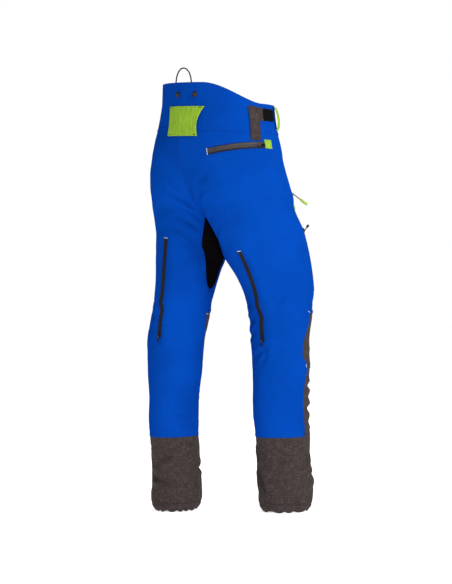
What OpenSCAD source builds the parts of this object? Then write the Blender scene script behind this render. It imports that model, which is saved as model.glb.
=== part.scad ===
// Chainsaw protective trousers, in the shape they take when worn, one leg a step forward.
// +Z is up, the wearer faces -Y and the wearer's left side is +X.
// The origin is the centre of the waist opening, level with its edge at the sides.
// Heights named *_h are measured up from the ankle line, which the hem hangs a little below.

/* [Garment] */
// How far the hem hangs below the ankle line
hem_drop = 10; // [0:1:14]
// Height of the waist edge at the sides
waist_h = 1060; // [1054:1:1066]
// How far the raised back stands above the waist edge
back_rise = 49; // [30:1:55]
// Height of the seam under the waistband
band_h = 987; // [981:1:993]
// Height of the top of the ankle cuffs
cuff_h = 191; // [170:1:205]
// Height of the seam between the shin panel and the knee panel
shin_h = 369; // [340:1:390]
// Height of the top of the knee panel
knee_h = 515; // [495:1:535]
// Thickness of the outer cloth with its lining
cloth = 2; // [1.5:0.1:2.5]
// Gap left at each sewn seam
seam_gap = 0.6; // [0.4:0.1:1]

/* [Cut protection] */
// Thickness of the cut-protection pad
pad = 6; // [4:0.5:7]
// Gap between the shell and the cut protection, where the thigh pocket's bag lies
pad_gap = 3.2; // [3:0.1:4]
// Height of the bottom of the pad
pad_low_h = 60; // [50:1:80]
// Height of the top of the pad
pad_high_h = 760; // [700:5:770]

/* [Gusset] */
// Height of the gusset's upper point
gusset_top_h = 760; // [740:1:770]
// Height where the gusset is widest
gusset_mid_h = 685; // [678:1:695]
// Height of the gusset's lower point
gusset_low_h = 577; // [560:1:600]
// Half width of the gusset, as a share of the way round one side
gusset_share = 0.085; // [0.06:0.005:0.1]

/* [Zips] */
// Thickness of a zip's tape and coil
zip_thick = 1.2; // [1:0.1:1.4]
// Width of a pocket zip
pocket_zip_w = 17; // [14:1:18]
// Width of a vent zip
vent_zip_w = 11; // [9:1:12]
// Length of a slider
slider_l = 12; // [10:1:14]
// Width of a slider
slider_w = 8.4; // [8:0.2:9]
// Thickness of a slider's body
slider_thick = 2.2; // [2:0.1:2.6]
// Radius of the pin that a slider's pull swings on
pin_r = 0.7; // [0.6:0.1:0.8]
// Length of a plain pull
pull_l = 22; // [18:1:24]
// Length of a hand pocket's pull, cord and grip together
long_pull_l = 46; // [40:1:48]

/* [Trim] */
// Radius of a brace button's head
button_r = 7.5; // [7:0.5:8.5]
// Radius of a brace button's shank
shank_r = 3; // [2.5:0.5:4]
// Gap between a belt loop and the waistband
loop_gap = 3; // [2.5:0.5:4]
// Gap between a front loop and the waistband
wide_loop_gap = 10; // [8:0.5:12]
// Diameter of the hanging loop's cord
cord_d = 3.5; // [2.5:0.5:4]

/* [Hidden] */

left = 1;
right = -1;
blue = "#054cba";
ripstop = "#494040";
lime = "#8cb23a";
black = "#141214";
steel = "#8a8a8e";

// Torso stations: height, half width, depth in front, depth behind.
TORSO = [
  [675, 190, 150, 126], [780, 196, 148, 150], [840, 198, 142, 160], [890, 196, 138, 156],
  [940, 189, 131, 148], [990, 177, 124, 134], [1040, 168, 121, 125], [1120, 163, 119, 121]];
// Leg stations: height, centre x, centre y, half width, half depth, turn outward in degrees.
LEG_LEFT = [
  [-10, 118, 35, 54, 66, 12], [15, 118, 34, 61, 75, 12], [60, 118, 34, 62, 76, 12],
  [130, 115, 39, 61, 75, 12], [205, 114, 49, 57, 80, 12], [290, 111, 51, 61, 81, 12],
  [390, 109, 49, 71, 79, 12], [450, 107, 45, 73, 82, 12], [500, 104, 34, 74, 84, 12],
  [550, 100, 26, 73, 90, 12], [610, 95, 18, 79, 97, 8], [675, 88, 8, 88, 101, 0],
  [780, 94, -8, 94, 118, 0], [900, 96, 0, 98, 130, 0]];
LEG_RIGHT = [
  [-10, 118, -135, 54, 66, 12], [15, 118, -136, 61, 75, 12], [60, 118, -136, 62, 76, 12],
  [130, 115, -133, 61, 75, 12], [205, 114, -127, 57, 80, 12], [290, 111, -125, 61, 81, 12],
  [390, 109, -127, 71, 79, 12], [450, 107, -127, 73, 82, 12], [500, 104, -131, 76, 87, 12],
  [550, 100, -131, 76, 95, 12], [610, 96, -124, 81, 108, 8], [675, 90, -103, 90, 119, 0],
  [780, 96, -66, 96, 132, 0], [900, 96, 0, 98, 130, 0]];
crotch_h = 675;
crotch_y = -22;
hip_h = 930;
front_rise = 200;
rear_rise = 280;
// The legs' inner seams draw together at the crotch above this height.
join_h = 540;
// The hips tip a little up on the wearer's left, between these heights.
tilt = 0.06;
tilt_low_h = 800;
tilt_high_h = 1000;

// ---- The worn surface ----
// t runs from 0 at the front centre, round the outside, to 1 at the rear centre.
// Below the crotch it runs all the way round the leg, from inner seam to inner seam.

function clip(x) = max(0, min(1, x));
function mix(a, b, u) = a + (b - a) * u;
function ease(x, a, b) = let (s = clip((x - a) / (b - a))) s * s * (3 - 2 * s);
function slope(rows, i) =
  let (a = max(i - 1, 0), b = min(i + 1, len(rows) - 1))
  (rows[b] - rows[a]) / (rows[b][0] - rows[a][0]);
function row_below(rows, h, i = 0) =
  i >= len(rows) - 2 || rows[i + 1][0] > h ? i : row_below(rows, h, i + 1);
// A smooth curve through the rows of a station table.
function station(rows, h) =
  let (
    x = max(rows[0][0], min(rows[len(rows) - 1][0], h)),
    i = row_below(rows, x),
    d = rows[i + 1][0] - rows[i][0],
    u = (x - rows[i][0]) / d)
  (2 * u^3 - 3 * u^2 + 1) * rows[i] + (u^3 - 2 * u^2 + u) * d * slope(rows, i)
  + (3 * u^2 - 2 * u^3) * rows[i + 1] + (u^3 - u^2) * d * slope(rows, i + 1);

function unit(v) = v / norm(v);
function outline(side, t, h) =
  let (
    torso = station(TORSO, h),
    leg = station(side == left ? LEG_LEFT : LEG_RIGHT, h),
    s = sin(180 * t),
    trunk = [torso[1] * s, -cos(180 * t) * (t < 0.5 ? torso[2] : torso[3])],
    cy = mix(leg[2], crotch_y, ease(h, join_h, crotch_h) * (1 - pow(abs(s), 0.7))),
    ex = -leg[3] * cos(360 * t),
    ey = -leg[4] * sin(360 * t),
    tube = [max(leg[1], leg[3]) + ex * cos(leg[5]) - ey * sin(leg[5]),
            cy + ex * sin(leg[5]) + ey * cos(leg[5])],
    front_seam = 1 - pow(sin(90 * clip((h - crotch_h) / front_rise)), 0.8),
    rear_seam = 1 - pow(sin(90 * clip((h - crotch_h) / rear_rise)), 1.2),
    centre = t < 0.5 ? front_seam : rear_seam,
    outside = 1 - ease(h, crotch_h, hip_h),
    p = mix(trunk, tube, mix(centre, outside, s * s)))
  [side * p.x, p.y];
// The outward direction at a point of the surface, in the level plane.
function outward(side, t, h) =
  let (e = 0.004, d = outline(side, t + e, h) - outline(side, t - e, h))
  side * [d.y, -d.x] / norm(d);
// A point of the surface, moved outward by off.
function skin(side, t, h, off = 0) =
  let (p = outline(side, t, h), q = p + off * outward(side, t, h))
  [q.x, q.y, h - waist_h + tilt * p.x * ease(h, tilt_low_h, tilt_high_h)];

// The direction square to the surface.
function normal(side, t, h) =
  let (
    round = skin(side, t + 0.004, h) - skin(side, t - 0.004, h),
    up = skin(side, t, h + 2) - skin(side, t, h - 2))
  side * unit(cross(round, up));

// ---- Seam lines ----

function side_seam(h) = 0.42 + 0.08 * ease(h, 800, 960);
// The back stands up high. Its edge drops gently on the right and steeply on the left.
function waist_edge(side, t) =
  waist_h + back_rise * ease(t, side == left ? 0.53 : 0.54, side == left ? 0.68 : 0.90);
function gusset_edge(h) =
  h > gusset_mid_h
    ? gusset_share * clip((gusset_top_h - h) / (gusset_top_h - gusset_mid_h))
    : gusset_share * sqrt(clip((h - gusset_low_h) / (gusset_mid_h - gusset_low_h)));
// The rear cloth wraps round the inner seam to meet the knee and shin panels.
function inner_edge(h) = 0.11 * (1 - ease(h, 300, 575));
edge_t = seam_gap / 900;
// The gusset keeps a wider gap all round, because its edge is drawn in other steps.
gusset_gap_t = 6 * edge_t;

// ---- Building with cloth ----

// The triangles of a slab whose outer and inner layers are grids of nu by nv cells.
// id(layer, i, j) numbers the corners; closed joins the last column to the first.
function slab_faces(nu, nv, id, closed = false) =
  let (quads = [
    for (i = [0:nu - 1], j = [0:nv - 1]) each [
      [id(0, i, j), id(0, i, j + 1), id(0, i + 1, j + 1), id(0, i + 1, j)],
      [id(1, i, j), id(1, i + 1, j), id(1, i + 1, j + 1), id(1, i, j + 1)]],
    for (i = [0:nu - 1]) each [
      [id(0, i, 0), id(0, i + 1, 0), id(1, i + 1, 0), id(1, i, 0)],
      [id(1, i, nv), id(1, i + 1, nv), id(0, i + 1, nv), id(0, i, nv)]],
    if (!closed) for (j = [0:nv - 1]) each [
      [id(0, 0, j + 1), id(0, 0, j), id(1, 0, j), id(1, 0, j + 1)],
      [id(0, nu, j), id(0, nu, j + 1), id(1, nu, j + 1), id(1, nu, j)]]])
  [for (q = quads) each [[q[0], q[1], q[2]], [q[0], q[2], q[3]]]];
function turned(faces) = [for (f = faces) [f[2], f[1], f[0]]];

// A sheet of cloth between two offsets of the surface. place(u, v) gives [t, h].
// nu and nv are the numbers of steps round and up; closed joins u = 1 to u = 0.
module sheet(side, place, nu, nv, outer = 0, inner = -cloth, closed = false) {
  nc = closed ? nu : nu + 1;
  points = [for (off = [outer, inner], j = [0:nv], i = [0:nc - 1])
    let (at = place(i / nu, j / nv)) skin(side, at.x, at.y, off)];
  faces = slab_faces(nu, nv, function(k, i, j) (k * (nv + 1) + j) * nc + i % nc, closed);
  polyhedron(points, side == left ? faces : turned(faces));
}

// A rectangular patch: t from t0 to t1, h from h0 to h1.
module patch(side, t0, t1, h0, h1, nu, nv, outer, inner) {
  sheet(side, function(u, v) [mix(t0, t1, u), mix(h0, h1, v)], nu, nv, outer, inner);
}

// ---- Shell of the trousers ----

module rear_panel(side) {
  color(blue) sheet(side, function(u, v)
    let (h = mix(cuff_h + seam_gap, band_h - seam_gap, v))
    [mix(side_seam(h) + edge_t, 1 - edge_t - gusset_edge(h) + inner_edge(h), u), h], 14, 32);
}
module front_panel(side) {
  color(blue) sheet(side, function(u, v)
    let (h = mix(knee_h + seam_gap, band_h - seam_gap, v))
    [mix(edge_t + gusset_edge(h) + inner_edge(h), side_seam(h) - edge_t, u), h], 12, 36);
}
module leg_front(side, low_h, high_h, nv) {
  color(ripstop) sheet(side, function(u, v)
    let (h = mix(low_h + seam_gap, high_h - seam_gap, v))
    [mix(edge_t + inner_edge(h), side_seam(h) - edge_t, u), h], 12, nv);
}
module cuff(side) {
  color(ripstop) sheet(side, function(u, v) [u, mix(-hem_drop, cuff_h - seam_gap, v)], 24, 8,
    closed = true);
}
module hem_elastic(side) {
  color(black) sheet(side, function(u, v) [u, mix(3, 17, v) - hem_drop], 24, 1,
    -cloth - 1.2, -cloth - 2.8, closed = true);
}
module front_waistband(side) {
  color(blue) sheet(side, function(u, v)
    let (t = mix(edge_t, 0.5 - edge_t, u)) [t, mix(band_h + seam_gap, waist_edge(side, t), v)], 12, 3);
}
// The back waistband is one piece from side to side, through the rear centre.
module back_waistband() {
  nu = 44;
  nv = 5;
  points = [for (off = [0, -cloth], j = [0:nv], i = [0:nu])
    let (
      s = mix(-1, 1, i / nu),
      t = 1 - (0.5 - edge_t) * abs(s),
      h = mix(band_h + seam_gap, waist_edge(s < 0 ? right : left, t), j / nv),
      p = skin(s < 0 ? right : left, t, h, off))
    s == 0 ? [0, p.y, p.z] : p];
  color(blue)
    polyhedron(points, turned(slab_faces(nu, nv, function(k, i, j) (k * (nv + 1) + j) * (nu + 1) + i)));
}
// The gusset is one diamond of cloth: its corners are on the centre seam in front and
// behind, and on each leg's inner seam. s runs from the right leg (-1) to the left (1),
// v from the front corner to the rear corner.
function gusset_place(s, v) =
  let (w = 1 - abs(1 - 2 * v), a = abs(s),
    side_h = mix(gusset_top_h, gusset_low_h, w),
    centre_h = mix(gusset_top_h, crotch_h, w),
    t = a * max(0, gusset_edge(side_h) - gusset_gap_t))
  [v < 0.5 ? t : 1 - t, mix(centre_h, side_h, a)];
function gusset_point(s, v, off) =
  let (at = gusset_place(s, v), here = skin(s < 0 ? right : left, at.x, at.y, off))
  s != 0 ? here
    : let (other = skin(right, at.x, at.y, off)) [0, (here.y + other.y) / 2, here.z - off];
module crotch_gusset() {
  ns = 4;
  nv = 24;
  tip = 0.02;
  n = 2 * ns + 1;
  points = [for (off = [0, -cloth], j = [0:nv], i = [-ns:ns])
    gusset_point(i / ns, mix(tip, 1 - tip, j / nv), off)];
  color(black) polyhedron(points, slab_faces(n - 1, nv, function(k, i, j) (k * (nv + 1) + j) * n + i));
}
module cut_pad(side) {
  color("ivory") sheet(side, function(u, v)
    let (h = mix(pad_low_h, pad_high_h, v)) [mix(0.12, side_seam(h) - 0.02, u), h], 8, 18,
    -cloth - pad_gap, -cloth - pad_gap - pad);
}

// ---- Straps, loops and buttons ----

// A loop of webbing lying on the waistband: t from t0 to t1, h from h0 to h1. Its two
// ends are sewn down and its middle stands off by gap. across is true when the ends are
// the upper and lower edges, false when they are the front and rear edges.
module belt_loop(side, t0, t1, h0, h1, gap, thick, across) {
  steps = 12;
  place = function(u, v) [mix(t0, t1, u), mix(h0, h1, v)];
  nu = across ? 2 : steps;
  nv = across ? steps : 3;
  foot = 0.3;
  function rise(u, v) = let (x = across ? v : u) foot + (gap - foot) * pow(sin(180 * x), 0.5);
  points = [for (k = [1, 0], j = [0:nv], i = [0:nu])
    let (at = place(i / nu, j / nv)) skin(side, at.x, at.y, rise(i / nu, j / nv) + k * thick)];
  faces = slab_faces(nu, nv, function(k, i, j) (k * (nv + 1) + j) * (nu + 1) + i);
  polyhedron(points, side == left ? faces : turned(faces));
}
module side_belt_loop(side) {
  color(ripstop) belt_loop(side, 0.56, 0.64, 963, 1052, loop_gap, 1.6, true);
}
module front_belt_loop(side) {
  color(lime) belt_loop(side, 0.36, 0.41, 996, 1056, wide_loop_gap, 1.6, true);
}
// The rear tunnel for a belt: open at both sides, wider at the top than at the bottom.
module belt_tunnel() {
  nu = 16;
  nv = 6;
  top_share = 0.113;
  low_share = 0.093;
  rim = 0.3;
  thick = 1.6;
  function bulge(v) = rim + (loop_gap + 1 - rim) * pow(sin(180 * v), 0.4);
  points = [for (k = [1, 0], j = [0:nv], i = [0:nu])
    let (
      s = mix(-1, 1, i / nu),
      v = j / nv,
      waist = 1 - 0.16 * sin(180 * v),
      t = 1 - abs(s) * mix(low_share, top_share, v) * waist,
      p = skin(s < 0 ? right : left, t, mix(969, 1050, v), bulge(v) + k * thick))
    s == 0 ? [0, p.y, p.z] : p];
  color(lime)
    polyhedron(points, turned(slab_faces(nu, nv, function(k, i, j) (k * (nv + 1) + j) * (nu + 1) + i)));
}
module waist_strap(side) {
  color(black) patch(side, 0.42, 0.548, 1016, 1048, 8, 1, 0.3, 2.3);
}
// The hanging loop: a cord that stands up from inside the raised back.
loop_x = 16;
loop_half_w = 30;
loop_rise = 37;
loop_foot = 16;
// The radius that the band curves on at the back; the loop's cord lies along it.
band_bend = 215;
loop_steps = 24;
function loop_point(i) =
  let (
    w = 1 - 2 * i / loop_steps,
    x = loop_x + loop_half_w * sin(90 * w),
    top = back_rise + tilt * loop_x,
    z = top + mix(-loop_foot, loop_rise, pow(cos(90 * w), 0.75)))
  [x, skin(left, 1, waist_edge(left, 1), -cloth - 0.4 - cord_d / 2).y - x^2 / (2 * band_bend), z];
module hanging_loop() {
  sides = 8;
  route = [for (i = [0:loop_steps]) loop_point(i)];
  rings = [for (i = [0:loop_steps])
    let (
      d = route[min(i + 1, loop_steps)] - route[max(i - 1, 0)],
      n = [d.z, 0, -d.x] / norm(d))
    [for (a = [0:sides - 1])
      route[i] + cord_d / 2 * (cos(360 * a / sides) * n + sin(360 * a / sides) * [0, 1, 0])]];
  points = [for (ring = rings) each ring];
  wall = [for (i = [0:loop_steps - 1], a = [0:sides - 1])
    let (b = (a + 1) % sides, p = i * sides, q = (i + 1) * sides)
    each [[p + a, q + a, q + b], [p + a, q + b, p + b]]];
  last = loop_steps * sides;
  color(black)
    polyhedron(points, concat(wall, [[for (a = [0:sides - 1]) a], [for (a = [sides - 1:-1:0]) last + a]]));
}
// The turn that lays +Z along a level direction.
module face_out(side, t, h) {
  n = outward(side, t, h);
  translate(skin(side, t, h)) rotate([0, 0, atan2(n.y, n.x)]) rotate([0, 90, 0]) children();
}
// A brace button: its shank passes through the waistband to a plate behind it.
module brace_button(side, t, h) {
  head_thick = 2.4;
  stand = 1.4;
  plate = 0.8;
  $fn = 48;
  color(black) face_out(side, t, h) {
    translate([0, 0, stand]) cylinder(r = button_r, h = head_thick);
    translate([0, 0, -cloth - plate]) cylinder(r = shank_r, h = cloth + plate + stand);
    translate([0, 0, -cloth - plate - 0.2]) cylinder(r = button_r - 1, h = plate);
  }
}

// ---- Zips ----
// A zip runs through three stops, [t, h, height over the surface]: where its slider
// rests, the middle and the far end. It lies in the plane that holds both ends and the
// outward direction at the middle, on an arc where the cloth is curved there, and
// straight where it is flat. Its frame is [origin, radial, forward, axis, radius,
// length or angle, tip]; the radius is 0 when it is straight, and tip is 180 when the
// arc is hollow, with its centre outside the cloth.
flat_enough = 1.5;
function zip_frame(side, stops) =
  let (
    p = [for (s = stops) skin(side, s[0], s[1]) + s[2] * normal(side, s[0], s[1])],
    chord = p[2] - p[0],
    along = unit(chord),
    n = normal(side, stops[1][0], stops[1][1]),
    out = unit(n - (n * along) * along),
    sag = (p[1] - (p[0] + p[2]) / 2) * out,
    bend = (norm(chord)^2 / 4 + sag^2) / (2 * abs(sag)),
    hollow = sag < 0,
    centre = (p[0] + p[2]) / 2 + (sag - (hollow ? -bend : bend)) * out,
    radial = unit(p[0] - centre))
  abs(sag) < flat_enough
    ? [p[0], out, along, cross(out, along), 0, norm(chord), 0]
    : let (axis = (hollow ? -1 : 1) * cross(out, along))
      [centre, radial, cross(axis, radial), axis, bend, 2 * asin(norm(chord) / (2 * bend)),
       hollow ? 180 : 0];
module in_frame(f) {
  multmatrix([
    [f[1].x, f[2].x, f[3].x, f[0].x],
    [f[1].y, f[2].y, f[3].y, f[0].y],
    [f[1].z, f[2].z, f[3].z, f[0].z]]) children();
}
// Children with +X along the zip, +Y across it and +Z outward, at a distance along it.
module on_zip(f, along) {
  turn = f[4] == 0 ? 0 : along / f[4] * 180 / PI;
  shift = f[4] == 0 ? along : 0;
  in_frame(f) rotate([0, 0, turn]) translate([f[4], shift, 0])
    rotate([0, -f[6], 0]) rotate([0, 90, 0]) rotate([0, 0, 90]) children();
}
module zip_strip(f, width) {
  in_frame(f)
    if (f[4] == 0) translate([-zip_thick / 2, 0, -width / 2]) cube([zip_thick, f[5], width]);
    else rotate_extrude(angle = f[5], $fn = 720)
      translate([f[4], 0]) square([zip_thick, width], center = true);
}
// The slider rides 0.3 mm over the strip; two ears carry the pin its pull swings on.
ride = 0.3;
ear_gap = 3.4;
ear_thick = 1.1;
ear_l = 3;
pin_h = slider_thick + 1.9;
module zip_slider(f) {
  base = zip_thick / 2 + ride;
  $fn = 24;
  color(black) on_zip(f, slider_l / 2) translate([0, 0, base]) {
    translate([-slider_l / 2, -slider_w / 2, 0]) cube([slider_l, slider_w, slider_thick]);
    for (s = [-1, 1]) translate([-ear_l / 2, s * (ear_gap + ear_thick) / 2 - ear_thick / 2, slider_thick])
      cube([ear_l, ear_thick, 3]);
    translate([0, ear_gap / 2 + ear_thick, pin_h]) rotate([90, 0, 0])
      cylinder(r = pin_r, h = ear_gap + 2 * ear_thick);
  }
}
// A pull: an eye on the pin, a narrow neck and a grip. raise lifts it off the cloth.
eye_r = 1.5;
eye_w = 2.6;
play = 0.3;
module zip_pull(f, length, grip_l, grip_w, grip_thick, reach, raise, tint) {
  base = zip_thick / 2 + ride;
  $fn = 24;
  color(tint) on_zip(f, slider_l / 2) translate([0, 0, base + pin_h]) rotate([0, -raise, 0])
    rotate([0, reach < 0 ? 180 : 0, 0]) difference() {
      union() {
        rotate([90, 0, 0]) cylinder(r = eye_r, h = eye_w, center = true);
        translate([0, -eye_w / 2, -0.6]) cube([length - grip_l + 1, eye_w, 1.2]);
        translate([length - grip_l, -grip_w / 2, -grip_thick / 2]) cube([grip_l, grip_w, grip_thick]);
      }
      rotate([90, 0, 0]) cylinder(r = pin_r + play, h = 2 * eye_w, center = true);
    }
}

REAR_POCKET = [[0.56, 951, 2.2], [0.70, 940, 2.2], [0.85, 928, 2.2]];
HAND_POCKET = [[0.37, 815, 3.4], [0.28, 890, 2.8], [0.21, 965, 3]];
THIGH_POCKET = [[0.36, 735, 3.2], [0.37, 655, 3.6], [0.35, 575, 3.2]];
VENT_LEFT = [[0.745, 451, 2], [0.735, 580, 1.6], [0.76, 708, 2]];
VENT_RIGHT = [[0.695, 440, 3.2], [0.705, 558, 5.7], [0.728, 674, 6.7]];
FLY = [[0, 965, 2.2], [0, 885, 2.8], [0, 800, 4]];
rear_pocket = zip_frame(right, REAR_POCKET);
function hand_pocket(side) = zip_frame(side, HAND_POCKET);
thigh_pocket = zip_frame(right, THIGH_POCKET);
function vent(side) = zip_frame(side, side == left ? VENT_LEFT : VENT_RIGHT);
fly = zip_frame(left, FLY);

// ---- Pockets ----

module pocket_bag(side, t0, t1, h0, h1) {
  color("dimgray") patch(side, t0, t1, h0, h1, 8, 8, -cloth - 1, -cloth - 2.2);
}
module pocket_tab(side, t0, t1, h0, h1) {
  color(lime) patch(side, t0, t1, h0, h1, 2, 2, 0.2, 1.2);
}
module fly_placket() {
  color(blue) sheet(left, function(u, v)
    let (h = mix(790, 978, v)) [mix(0.014, 0.075, u * (0.4 + 0.6 * sqrt(v))), h], 4, 10, 1.7, 0.3);
}
module waist_button() {
  color(steel) face_out(left, 0.02, 1022) {
    $fn = 48;
    translate([0, 0, 0.3]) cylinder(r = 8.5, h = 2.6);
  }
}

module zip_tape(f, width) { color(black) zip_strip(f, width); }
module rear_zip() { color(ripstop) zip_strip(rear_pocket, pocket_zip_w); }
module rear_pull() { zip_pull(rear_pocket, 16, 10, 6, 1.6, 1, 0, black); }
module hand_pull(side) { zip_pull(hand_pocket(side), long_pull_l, 27, 7, 4.5, -1, -38, lime); }
module thigh_pull() { zip_pull(thigh_pocket, 16, 10, 5, 1.6, -1, -50, black); }
module vent_pull(side) { zip_pull(vent(side), pull_l, 16, 5, 1.4, -1, 0, steel); }
module fly_pull() { zip_pull(fly, pull_l, 16, 6, 1.4, 1, 0, steel); }

back_waistband();
front_waistband(left);  // front_waistband_left
front_waistband(right);  // front_waistband_right
rear_panel(left);  // rear_panel_left
rear_panel(right);  // rear_panel_right
front_panel(left);  // front_panel_left
front_panel(right);  // front_panel_right
leg_front(left, shin_h, knee_h, 6);  // knee_panel_left
leg_front(right, shin_h, knee_h, 6);  // knee_panel_right
leg_front(left, cuff_h, shin_h, 7);  // shin_panel_left
leg_front(right, cuff_h, shin_h, 7);  // shin_panel_right
cuff(left);  // cuff_left
cuff(right);  // cuff_right
hem_elastic(left);  // hem_elastic_left
hem_elastic(right);  // hem_elastic_right
crotch_gusset();
cut_pad(left);  // cut_pad_left
cut_pad(right);  // cut_pad_right
hanging_loop();
brace_button(left, 0.942, 1077);  // brace_button_rear_left
brace_button(right, 0.942, 1077);  // brace_button_rear_right
brace_button(left, 0.2, 1020);  // brace_button_front_left
brace_button(right, 0.2, 1020);  // brace_button_front_right
belt_tunnel();
side_belt_loop(left);  // side_belt_loop_left
side_belt_loop(right);  // side_belt_loop_right
front_belt_loop(left);  // front_belt_loop_left
front_belt_loop(right);  // front_belt_loop_right
waist_strap(left);  // waist_strap_left
waist_strap(right);  // waist_strap_right
pocket_bag(right, 0.57, 0.84, 800, 950);  // rear_pocket_bag
pocket_tab(right, 0.505, 0.557, 942, 966);  // rear_pocket_tab
rear_zip();  // rear_pocket_zip
zip_slider(rear_pocket);  // rear_pocket_slider
rear_pull();  // rear_pocket_pull
pocket_bag(left, 0.12, 0.34, 775, 965);  // hand_pocket_bag_left
pocket_bag(right, 0.12, 0.34, 775, 965);  // hand_pocket_bag_right
pocket_tab(left, 0.375, 0.40, 783, 811);  // hand_pocket_tab_left
pocket_tab(right, 0.375, 0.40, 783, 811);  // hand_pocket_tab_right
zip_tape(hand_pocket(left), pocket_zip_w);  // hand_pocket_zip_left
zip_tape(hand_pocket(right), pocket_zip_w);  // hand_pocket_zip_right
zip_slider(hand_pocket(left));  // hand_pocket_slider_left
zip_slider(hand_pocket(right));  // hand_pocket_slider_right
hand_pull(left);  // hand_pocket_pull_left
hand_pull(right);  // hand_pocket_pull_right
pocket_bag(right, 0.26, 0.345, 560, 730);  // thigh_pocket_bag
zip_tape(thigh_pocket, pocket_zip_w);  // thigh_pocket_zip
zip_slider(thigh_pocket);  // thigh_pocket_slider
thigh_pull();  // thigh_pocket_pull
zip_tape(vent(left), vent_zip_w);  // vent_zip_left
zip_tape(vent(right), vent_zip_w);  // vent_zip_right
zip_slider(vent(left));  // vent_slider_left
zip_slider(vent(right));  // vent_slider_right
vent_pull(left);  // vent_pull_left
vent_pull(right);  // vent_pull_right
fly_placket();
zip_tape(fly, vent_zip_w);  // fly_zip
zip_slider(fly);  // fly_slider
fly_pull();
waist_button();
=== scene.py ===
"""Chainsaw protective trousers, in the shape they take when worn, one leg a step forward.

Lengths are millimetres and are turned into metres where a mesh is made. The surface of
the cloth is worked out from the same stations as the CAD model's, with the relief that
real cloth has: folds, gathers, lapped seams and the rise to meet each zip.
"""

import math

import bmesh
import bpy
import numpy as np
from mathutils import Matrix, Vector


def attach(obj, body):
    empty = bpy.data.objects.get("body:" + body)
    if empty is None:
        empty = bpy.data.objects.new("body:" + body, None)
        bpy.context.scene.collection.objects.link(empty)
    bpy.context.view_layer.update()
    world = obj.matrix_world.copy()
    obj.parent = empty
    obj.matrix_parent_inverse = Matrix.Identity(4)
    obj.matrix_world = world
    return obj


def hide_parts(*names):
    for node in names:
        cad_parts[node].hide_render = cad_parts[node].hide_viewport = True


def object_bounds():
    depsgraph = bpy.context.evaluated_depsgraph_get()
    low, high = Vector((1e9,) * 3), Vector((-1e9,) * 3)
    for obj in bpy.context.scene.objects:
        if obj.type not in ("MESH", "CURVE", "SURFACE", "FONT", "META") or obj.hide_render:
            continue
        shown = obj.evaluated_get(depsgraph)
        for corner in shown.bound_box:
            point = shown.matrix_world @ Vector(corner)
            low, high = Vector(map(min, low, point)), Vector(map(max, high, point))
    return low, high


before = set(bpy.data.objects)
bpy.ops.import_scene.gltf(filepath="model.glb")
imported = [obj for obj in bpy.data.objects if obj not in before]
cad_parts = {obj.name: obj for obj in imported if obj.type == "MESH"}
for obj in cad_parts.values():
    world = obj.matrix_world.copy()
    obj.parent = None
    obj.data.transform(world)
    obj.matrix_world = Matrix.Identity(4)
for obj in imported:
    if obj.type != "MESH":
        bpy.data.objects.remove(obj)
cad_low, cad_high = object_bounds()

MM = 0.001
LEFT, RIGHT = 1, -1
SIDES = {"left": LEFT, "right": RIGHT}
BODY = "trousers"

# ---- Driving dimensions: those of the CAD model, with a longer gusset ----

HEM_DROP = 10.0  # how far the hem hangs below the level that heights are measured from
WAIST_H = -1000 * cad_low.z - HEM_DROP
BACK_RISE = 49.0
CUFF_H, SHIN_H, KNEE_H, BAND_H = 191.0, 369.0, 515.0, 987.0  # the tops of the lower panels
CLOTH = 2.0
GUSSET_TOP, GUSSET_MID, GUSSET_LOW = 767.0, 685.0, 577.0
GUSSET_SHARE = {LEFT: 0.081, RIGHT: 0.1}
ZIP_THICK = 1.2
POCKET_ZIP_W, VENT_ZIP_W = 17.0, 11.0
GIRTH = 450.0  # the way round one side, for lengths that go with t

# Torso stations: height, half width, depth in front, depth behind.
TORSO = np.array([
    [675, 190, 150, 126], [780, 196, 148, 150], [840, 198, 142, 160], [890, 196, 138, 156],
    [940, 189, 131, 148], [990, 177, 124, 134], [1040, 168, 121, 125], [1120, 163, 119, 121]], float)
# Leg stations: height, centre x, centre y, half width, half depth, turn outward in degrees.
LEG = {
    LEFT: np.array([
        [-10, 118, 35, 54, 66, 12], [15, 118, 34, 61, 75, 12], [60, 118, 34, 62, 76, 12],
        [130, 115, 39, 61, 75, 12], [205, 114, 49, 57, 80, 12], [290, 111, 51, 61, 81, 12],
        [390, 109, 49, 71, 79, 12], [450, 107, 45, 73, 82, 12], [500, 104, 34, 74, 84, 12],
        [550, 100, 26, 73, 90, 12], [610, 95, 18, 79, 97, 8], [675, 88, 8, 88, 101, 0],
        [780, 94, -8, 94, 118, 0], [900, 96, 0, 98, 130, 0]], float),
    RIGHT: np.array([
        [-10, 118, -135, 54, 66, 12], [15, 118, -136, 61, 75, 12], [60, 118, -136, 62, 76, 12],
        [130, 115, -133, 61, 75, 12], [205, 114, -127, 57, 80, 12], [290, 111, -125, 61, 81, 12],
        [390, 109, -127, 71, 79, 12], [450, 107, -127, 73, 82, 12], [500, 104, -131, 76, 87, 12],
        [550, 100, -131, 76, 95, 12], [610, 96, -124, 81, 108, 8], [675, 90, -103, 90, 119, 0],
        [780, 96, -66, 96, 132, 0], [900, 96, 0, 98, 130, 0]], float)}
CROTCH_H, CROTCH_Y, HIP_H = 675.0, -22.0, 930.0
FRONT_RISE, REAR_RISE, JOIN_H = 200.0, 280.0, 540.0
TILT, TILT_LOW, TILT_HIGH = 0.06, 800.0, 1000.0

# ---- The worn surface ----
# t runs from 0 at the front centre, round the outside, to 1 at the rear centre. Below the
# crotch it runs all the way round the leg. h is the height over the ankle line, which the
# hem hangs HEM_DROP below.


def clip(x):
    return np.clip(x, 0, 1)


def mix(a, b, u):
    return a + (b - a) * u


def ease(x, a, b):
    s = clip((np.asarray(x, float) - a) / (b - a))
    return s * s * (3 - 2 * s)


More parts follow.
